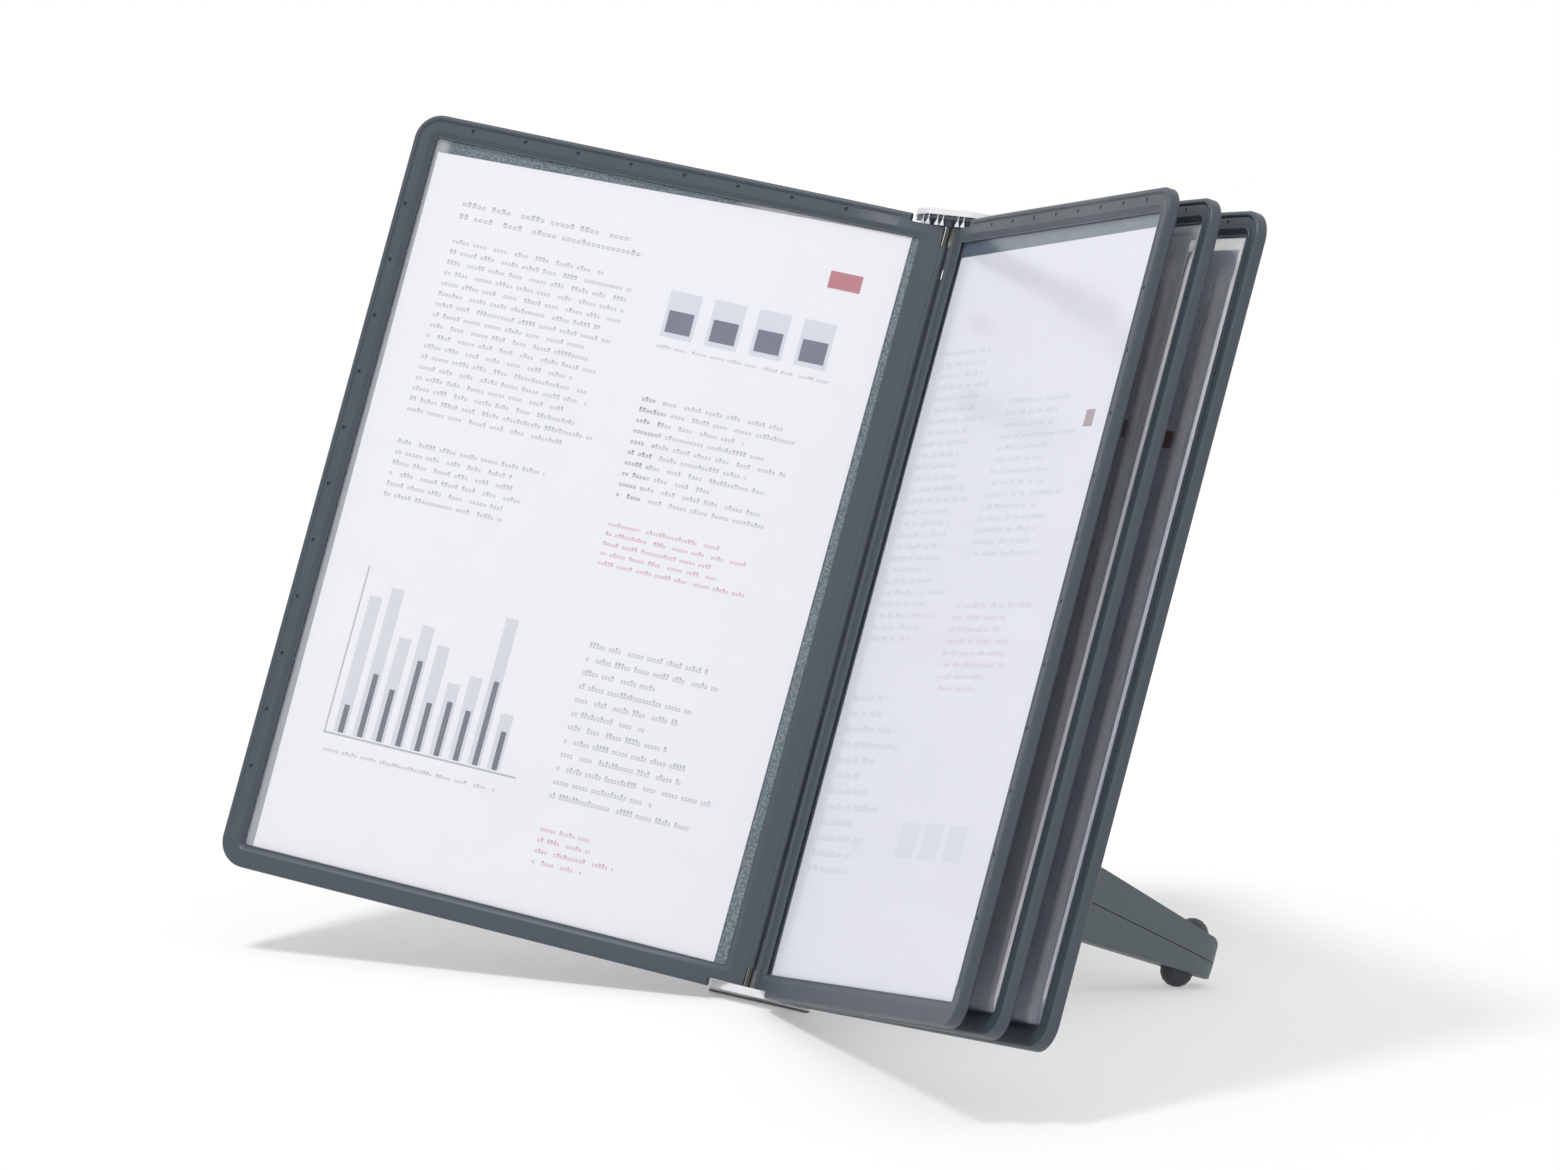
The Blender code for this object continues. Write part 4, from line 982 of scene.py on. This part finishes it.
def sheet_mesh(name, face, seed):
    """A sheet of paper with its own four corners and a slight waviness."""
    corners = [Vector((x * MM, z * MM)) for x, z in SHEET_CORNERS[name]]
    maker = random.Random(seed)
    waves = [(maker.uniform(1, 3), maker.uniform(1, 4), maker.uniform(0, 2 * pi)) for _ in range(4)]
    columns = [i / SHEET_COLUMNS for i in range(SHEET_COLUMNS + 1)]
    rows = [j / SHEET_ROWS for j in range(SHEET_ROWS + 1)]

    def place(a, b):
        low = corners[0].lerp(corners[1], a)
        high = corners[3].lerp(corners[2], a)
        at = low.lerp(high, b)
        inside = min(a, 1 - a, b, 1 - b)
        wave = sum(sin(p * pi * a + q * pi * b + r) for p, q, r in waves) / len(waves)
        return at[0], SHEET_WAVE * wave * rise(inside, 0.1), at[1]

    reader = 0 if face < 0 else 1

    def look(side, _i, _j):
        return 0 if side == reader else 1

    return slab(columns, rows, place, SHEET_THICKNESS, look)


def pin_mesh(low, high, radius):
    edge = radius * 0.25
    profile = [(0.0, low), (radius - edge, low), (radius, low + edge)]
    profile += [(radius, high - edge), (radius - edge, high), (0.0, high)]
    return turned_mesh(profile, 40)


def build_panels(looks):
    plain = frame_mesh(False)
    for index, name in enumerate(PANELS):
        matrix, face = panel_space(name)
        body = frame_mesh(True) if name == "panel_1" else plain.copy()
        made = finished(name + "_moulding", body, name, [looks["frame"]], matrix)
        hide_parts(name + "_frame")
        for side in (-1, 1):
            word = "front" if side < 0 else "back"
            behind = side != face
            ridged = name in RIDGES and not behind
            clear = looks["loose_film_" + name] if ridged else looks["film"]
            materials = [clear, looks[WELDS[name]]]
            film = finished(
                f"{name}_{word}_pocket_film",
                film_mesh(name, side, behind, ridged),
                name,
                materials,
                matrix,
            )
            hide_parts(f"{name}_{word}_film")
        paper = finished(
            name + "_paper",
            sheet_mesh(name, face, index + 3),
            name,
            [looks["paper_" + name], looks["paper_back"]],
            matrix,
        )
        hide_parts(name + "_sheet")
        for word, low, high in PIN_SPANS:
            pin = finished(
                f"{name}_{word}_steel_pin",
                pin_mesh(low, high, PIN_RADIUS),
                name,
                [looks["dark_steel"]],
                matrix,
            )
            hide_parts(f"{name}_{word}_pin")


def tooth_mesh(centre, turn):
    """One light tooth on a thin neck under the top bracket's plate."""
    outline = [(-TOOTH_BASE / 2, TOOTH_LOW), (TOOTH_BASE / 2, TOOTH_LOW)]
    outline += [(TOOTH_TIP / 2, TOOTH_NECK), (TOOTH_TIP / 2, TOOTH_HIGH)]
    outline += [(-TOOTH_TIP / 2, TOOTH_HIGH), (-TOOTH_TIP / 2, TOOTH_NECK)]
    tooth = prism_mesh(outline, -TOOTH_THICKNESS / 2, TOOTH_THICKNESS / 2)
    tooth.transform(Matrix.Rotation(pi / 2, 4, "X"))
    tooth.transform(Matrix.Translation((*centre, 0.0)) @ Matrix.Rotation(turn, 4, "Z"))
    return tooth


def build_teeth(looks):
    """The teeth between the plate and the panels, set along the plate's front edges."""
    teeth = [tooth_mesh((x, TOOTH_FRONT), 0.0) for x in TOOTH_PLACES]
    shoulder = Vector((-SHOULDER_REACH, 0.0)) - Vector((-FRONT_REACH, TOOTH_FRONT))
    for share in TOOTH_SHARES:
        centre = Vector((-FRONT_REACH, TOOTH_FRONT)) + shoulder * share
        teeth.append(tooth_mesh(centre, -shoulder.angle_signed(Vector((-1.0, 0.0)))))
    lean = Matrix.Rotation(-LEAN, 4, "X")
    lean.translation = SPINE_ORIGIN
    finished(
        "top_bracket_teeth", joined(teeth), "stand", [looks["bracket"]], lean
    )


def dress_nodes(looks):
    """Materials and soft edges for the CAD nodes that stay."""
    dressed = {
        "spine_column": ("dark_steel", 0.5),
        "bottom_bracket": ("bracket", 0.25),
        "top_bracket": ("bracket", 0.25),
        "top_socket_strip": ("frame", 0.1),
        "leg_hub": ("leg", 0.3),
        "base_pad": ("pad", 0.1),
    }
    for side in ("left", "right"):
        dressed[f"{side}_leg_upper_shell"] = ("leg", 0.4)
        dressed[f"{side}_leg_lower_shell"] = ("leg", 0.4)
        dressed[f"{side}_leg_foot"] = ("rubber", 0.0)
        dressed[f"{side}_leg_pin"] = ("steel", 0.2)
        dressed[f"{side}_leg_pin_clip"] = ("steel", 0.1)
    for name in ("lower_bracket", "upper_bracket", "lower_hub", "upper_hub"):
        dressed[name + "_screw"] = ("steel", 0.15)
    for name, (look, width) in dressed.items():
        node = frame["nodes"][name]
        node.data.materials.clear()
        node.data.materials.append(looks[look])
        note_place(node.data)
        if width:
            soft = node.modifiers.new("soft_edges", "BEVEL")
            soft.width = width * MM
            soft.segments = 2
            soft.limit_method = "ANGLE"
            soft.angle_limit = BEVEL_ANGLE
            soft.harden_normals = False


def make_looks():
    looks = {
        "frame": plastic("frame_moulding", colour(62, 72, 80), 0.42),
        "leg": plastic("leg_moulding", colour(98, 108, 109), 0.5),
        "bracket": plastic("bracket_moulding", colour(222, 222, 224), 0.42, mottle=0.02),
        "steel": steel_material("steel_rod", colour(176, 178, 180), colour(205, 206, 207), 0.24),
        "dark_steel": steel_material("dark_steel", colour(76, 79, 76), colour(90, 93, 90), 0.42),
        "rubber": rubber_material("foot_rubber", colour(52, 53, 57), colour(66, 67, 72)),
        # The pad's rubber is lighter than the feet's: partly its own colour, partly painted light
        # that lifts the shade under the bottom bracket
        "pad": rubber_material("pad_rubber", colour(96, 98, 101), colour(108, 110, 113)),
        "film": film_material(),
        "left_weld": left_weld_material(),
        "paper_back": paper_material("paper_back", colour(240, 240, 244), side_print, 0.35),
    }
    looks["paper_panel_1"] = paper_material(
        "paper_front", colour(244, 244, 248), front_print, 0.8, reverse=True
    )
    for name, dark, light, cover in SIDE_WELDS:
        looks[name] = side_weld_material(name, dark, light, cover)
    for name in RIDGES:
        looks["loose_film_" + name] = loose_film_material(name)
    for name, base, faint in SIDE_PAPERS:
        looks["paper_" + name] = paper_material("paper_" + name, colour(*base), side_print, faint)
    return looks


def ray_share(tree):
    """1 for camera, glossy and transmitted rays, else 0."""
    path = tree.nodes.new("ShaderNodeLightPath")
    total = path.outputs["Is Camera Ray"]
    for key in ("Is Glossy Ray", "Is Transmission Ray"):
        most = tree.nodes.new("ShaderNodeMath")
        most.operation = "MAXIMUM"
        tree.links.new(total, most.inputs[0])
        tree.links.new(path.outputs[key], most.inputs[1])
        total = most.outputs[0]
    return total


def make_world(ambient):
    world = bpy.data.worlds.new("studio")
    bpy.context.scene.world = world
    world.use_nodes = True
    tree = world.node_tree
    tree.nodes.clear()
    fill = tree.nodes.new("ShaderNodeBackground")
    fill.inputs["Strength"].default_value = ambient
    white = tree.nodes.new("ShaderNodeBackground")
    white.inputs["Strength"].default_value = 1.0
    for background in (fill, white):
        background.inputs["Color"].default_value = (1.0, 1.0, 1.0, 1.0)
    mix = tree.nodes.new("ShaderNodeMixShader")
    tree.links.new(ray_share(tree), mix.inputs[0])
    tree.links.new(fill.outputs[0], mix.inputs[1])
    tree.links.new(white.outputs[0], mix.inputs[2])
    output = tree.nodes.new("ShaderNodeOutputWorld")
    tree.links.new(mix.outputs[0], output.inputs[0])


def even_gain(made, place):
    """How much brighter the floor's colour is made further from the key light."""
    def vector(operation, a, b):
        step = made.node("ShaderNodeVectorMath", operation=operation)
        made.put(a, step.inputs[0])
        made.put(b, step.inputs[1])
        return step.outputs["Value" if operation == "DOT_PRODUCT" else "Vector"]

    ray = vector("SUBTRACT", place, KEY_PLACE)
    squared = vector("DOT_PRODUCT", ray, ray)
    beam = (Vector(KEY_AIM) - Vector(KEY_PLACE)).normalized()
    along = made.math("MAXIMUM", vector("DOT_PRODUCT", ray, tuple(beam)), 0.05)
    power = KEY_POWER * KEY_PLACE[2] / pi ** 2
    key = made.math("DIVIDE", made.math("MULTIPLY", along, power), made.math("POWER", squared, 2.0))
    return made.math("DIVIDE", FLOOR_BRIGHTNESS, made.math("ADD", key, FILL))


def make_floor():
    """A pale floor that keeps the stand's shadow, thinned by painted light on the right; white far
    out.
    """
    bm = bmesh.new()
    bmesh.ops.create_grid(bm, x_segments=2, y_segments=2, size=FLOOR_SIZE)
    mesh = mesh_of(bm, "floor")
    made = Shader("floor")
    tree = made.tree
    place = made.node("ShaderNodeTexCoord").outputs["Object"]
    length = made.node("ShaderNodeVectorMath", operation="LENGTH")
    made.link(place, length.inputs[0])
    far = made.map(length.outputs["Value"], *FLOOR_FADE)
    grain = made.noise(place, 40.0, 2.0)
    gain = made.node("ShaderNodeCombineXYZ")
    level = made.math("MULTIPLY", even_gain(made, place), made.map(grain, 0.0, 1.0, 0.995, 1.005))
    for socket in gain.inputs:
        made.link(level, socket)
    white = made.node("ShaderNodeBsdfDiffuse")
    shade = made.mix(ray_share(tree), colour(*FLOOR_TINT), gain.outputs[0])
    made.link(shade, white.inputs["Color"])
    # Painted light: plain white mixed in towards the right thins the shadow there
    right = made.map(made.parts(place)[0], *FLOOR_PAINTED_LIGHT_ZONE, FLOOR_LEAST_PAINTED_LIGHT, FLOOR_PAINTED_LIGHT)
    far = made.math("MAXIMUM", far, right)
    glow = made.node("ShaderNodeEmission")
    glow.inputs["Color"].default_value = (1.0, 1.0, 1.0, 1.0)
    glow.inputs["Strength"].default_value = 1.0
    mix = made.node("ShaderNodeMixShader")
    seen = made.math("MULTIPLY", far, ray_share(tree))
    made.link(seen, mix.inputs[0])
    made.link(white.outputs[0], mix.inputs[1])
    made.link(glow.outputs[0], mix.inputs[2])
    made.link(mix.outputs[0], made.output.inputs["Surface"])
    mesh.materials.append(made.material)
    floor = bpy.data.objects.new("floor", mesh)
    bpy.context.scene.collection.objects.link(floor)


def area_light(name, place, aim, size, power):
    light = bpy.data.lights.new(name, "AREA")
    light.shape = "DISK"
    light.size = size
    light.energy = power
    made = bpy.data.objects.new(name, light)
    bpy.context.scene.collection.objects.link(made)
    made.location = place
    made.rotation_euler = (Vector(aim) - Vector(place)).to_track_quat("-Z", "Y").to_euler()


def make_camera():
    data = bpy.data.cameras.new("camera")
    data.lens = CAMERA_LENS
    data.sensor_width = CAMERA_SENSOR
    data.clip_end = 100.0
    camera = bpy.data.objects.new("camera", data)
    bpy.context.scene.collection.objects.link(camera)
    camera.location = CAMERA_PLACE
    turn = Vector(CAMERA_AIM) - Vector(CAMERA_PLACE)
    camera.rotation_euler = turn.to_track_quat("-Z", "Y").to_euler()
    bpy.context.scene.camera = camera


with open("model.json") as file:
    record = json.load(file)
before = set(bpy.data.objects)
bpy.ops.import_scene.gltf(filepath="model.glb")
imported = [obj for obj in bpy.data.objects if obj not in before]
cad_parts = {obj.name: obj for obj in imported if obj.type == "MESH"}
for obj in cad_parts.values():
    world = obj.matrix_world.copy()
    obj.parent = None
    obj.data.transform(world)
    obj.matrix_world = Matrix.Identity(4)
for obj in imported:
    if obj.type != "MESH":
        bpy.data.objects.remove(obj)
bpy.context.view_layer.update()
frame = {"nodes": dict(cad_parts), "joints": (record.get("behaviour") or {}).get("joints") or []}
bpy.context.scene.view_settings.view_transform = "Standard"
make_camera()
looks = make_looks()
build_panels(looks)
build_teeth(looks)
dress_nodes(looks)
make_floor()
make_world(FILL)
area_light("key", KEY_PLACE, KEY_AIM, KEY_SIZE, KEY_POWER)
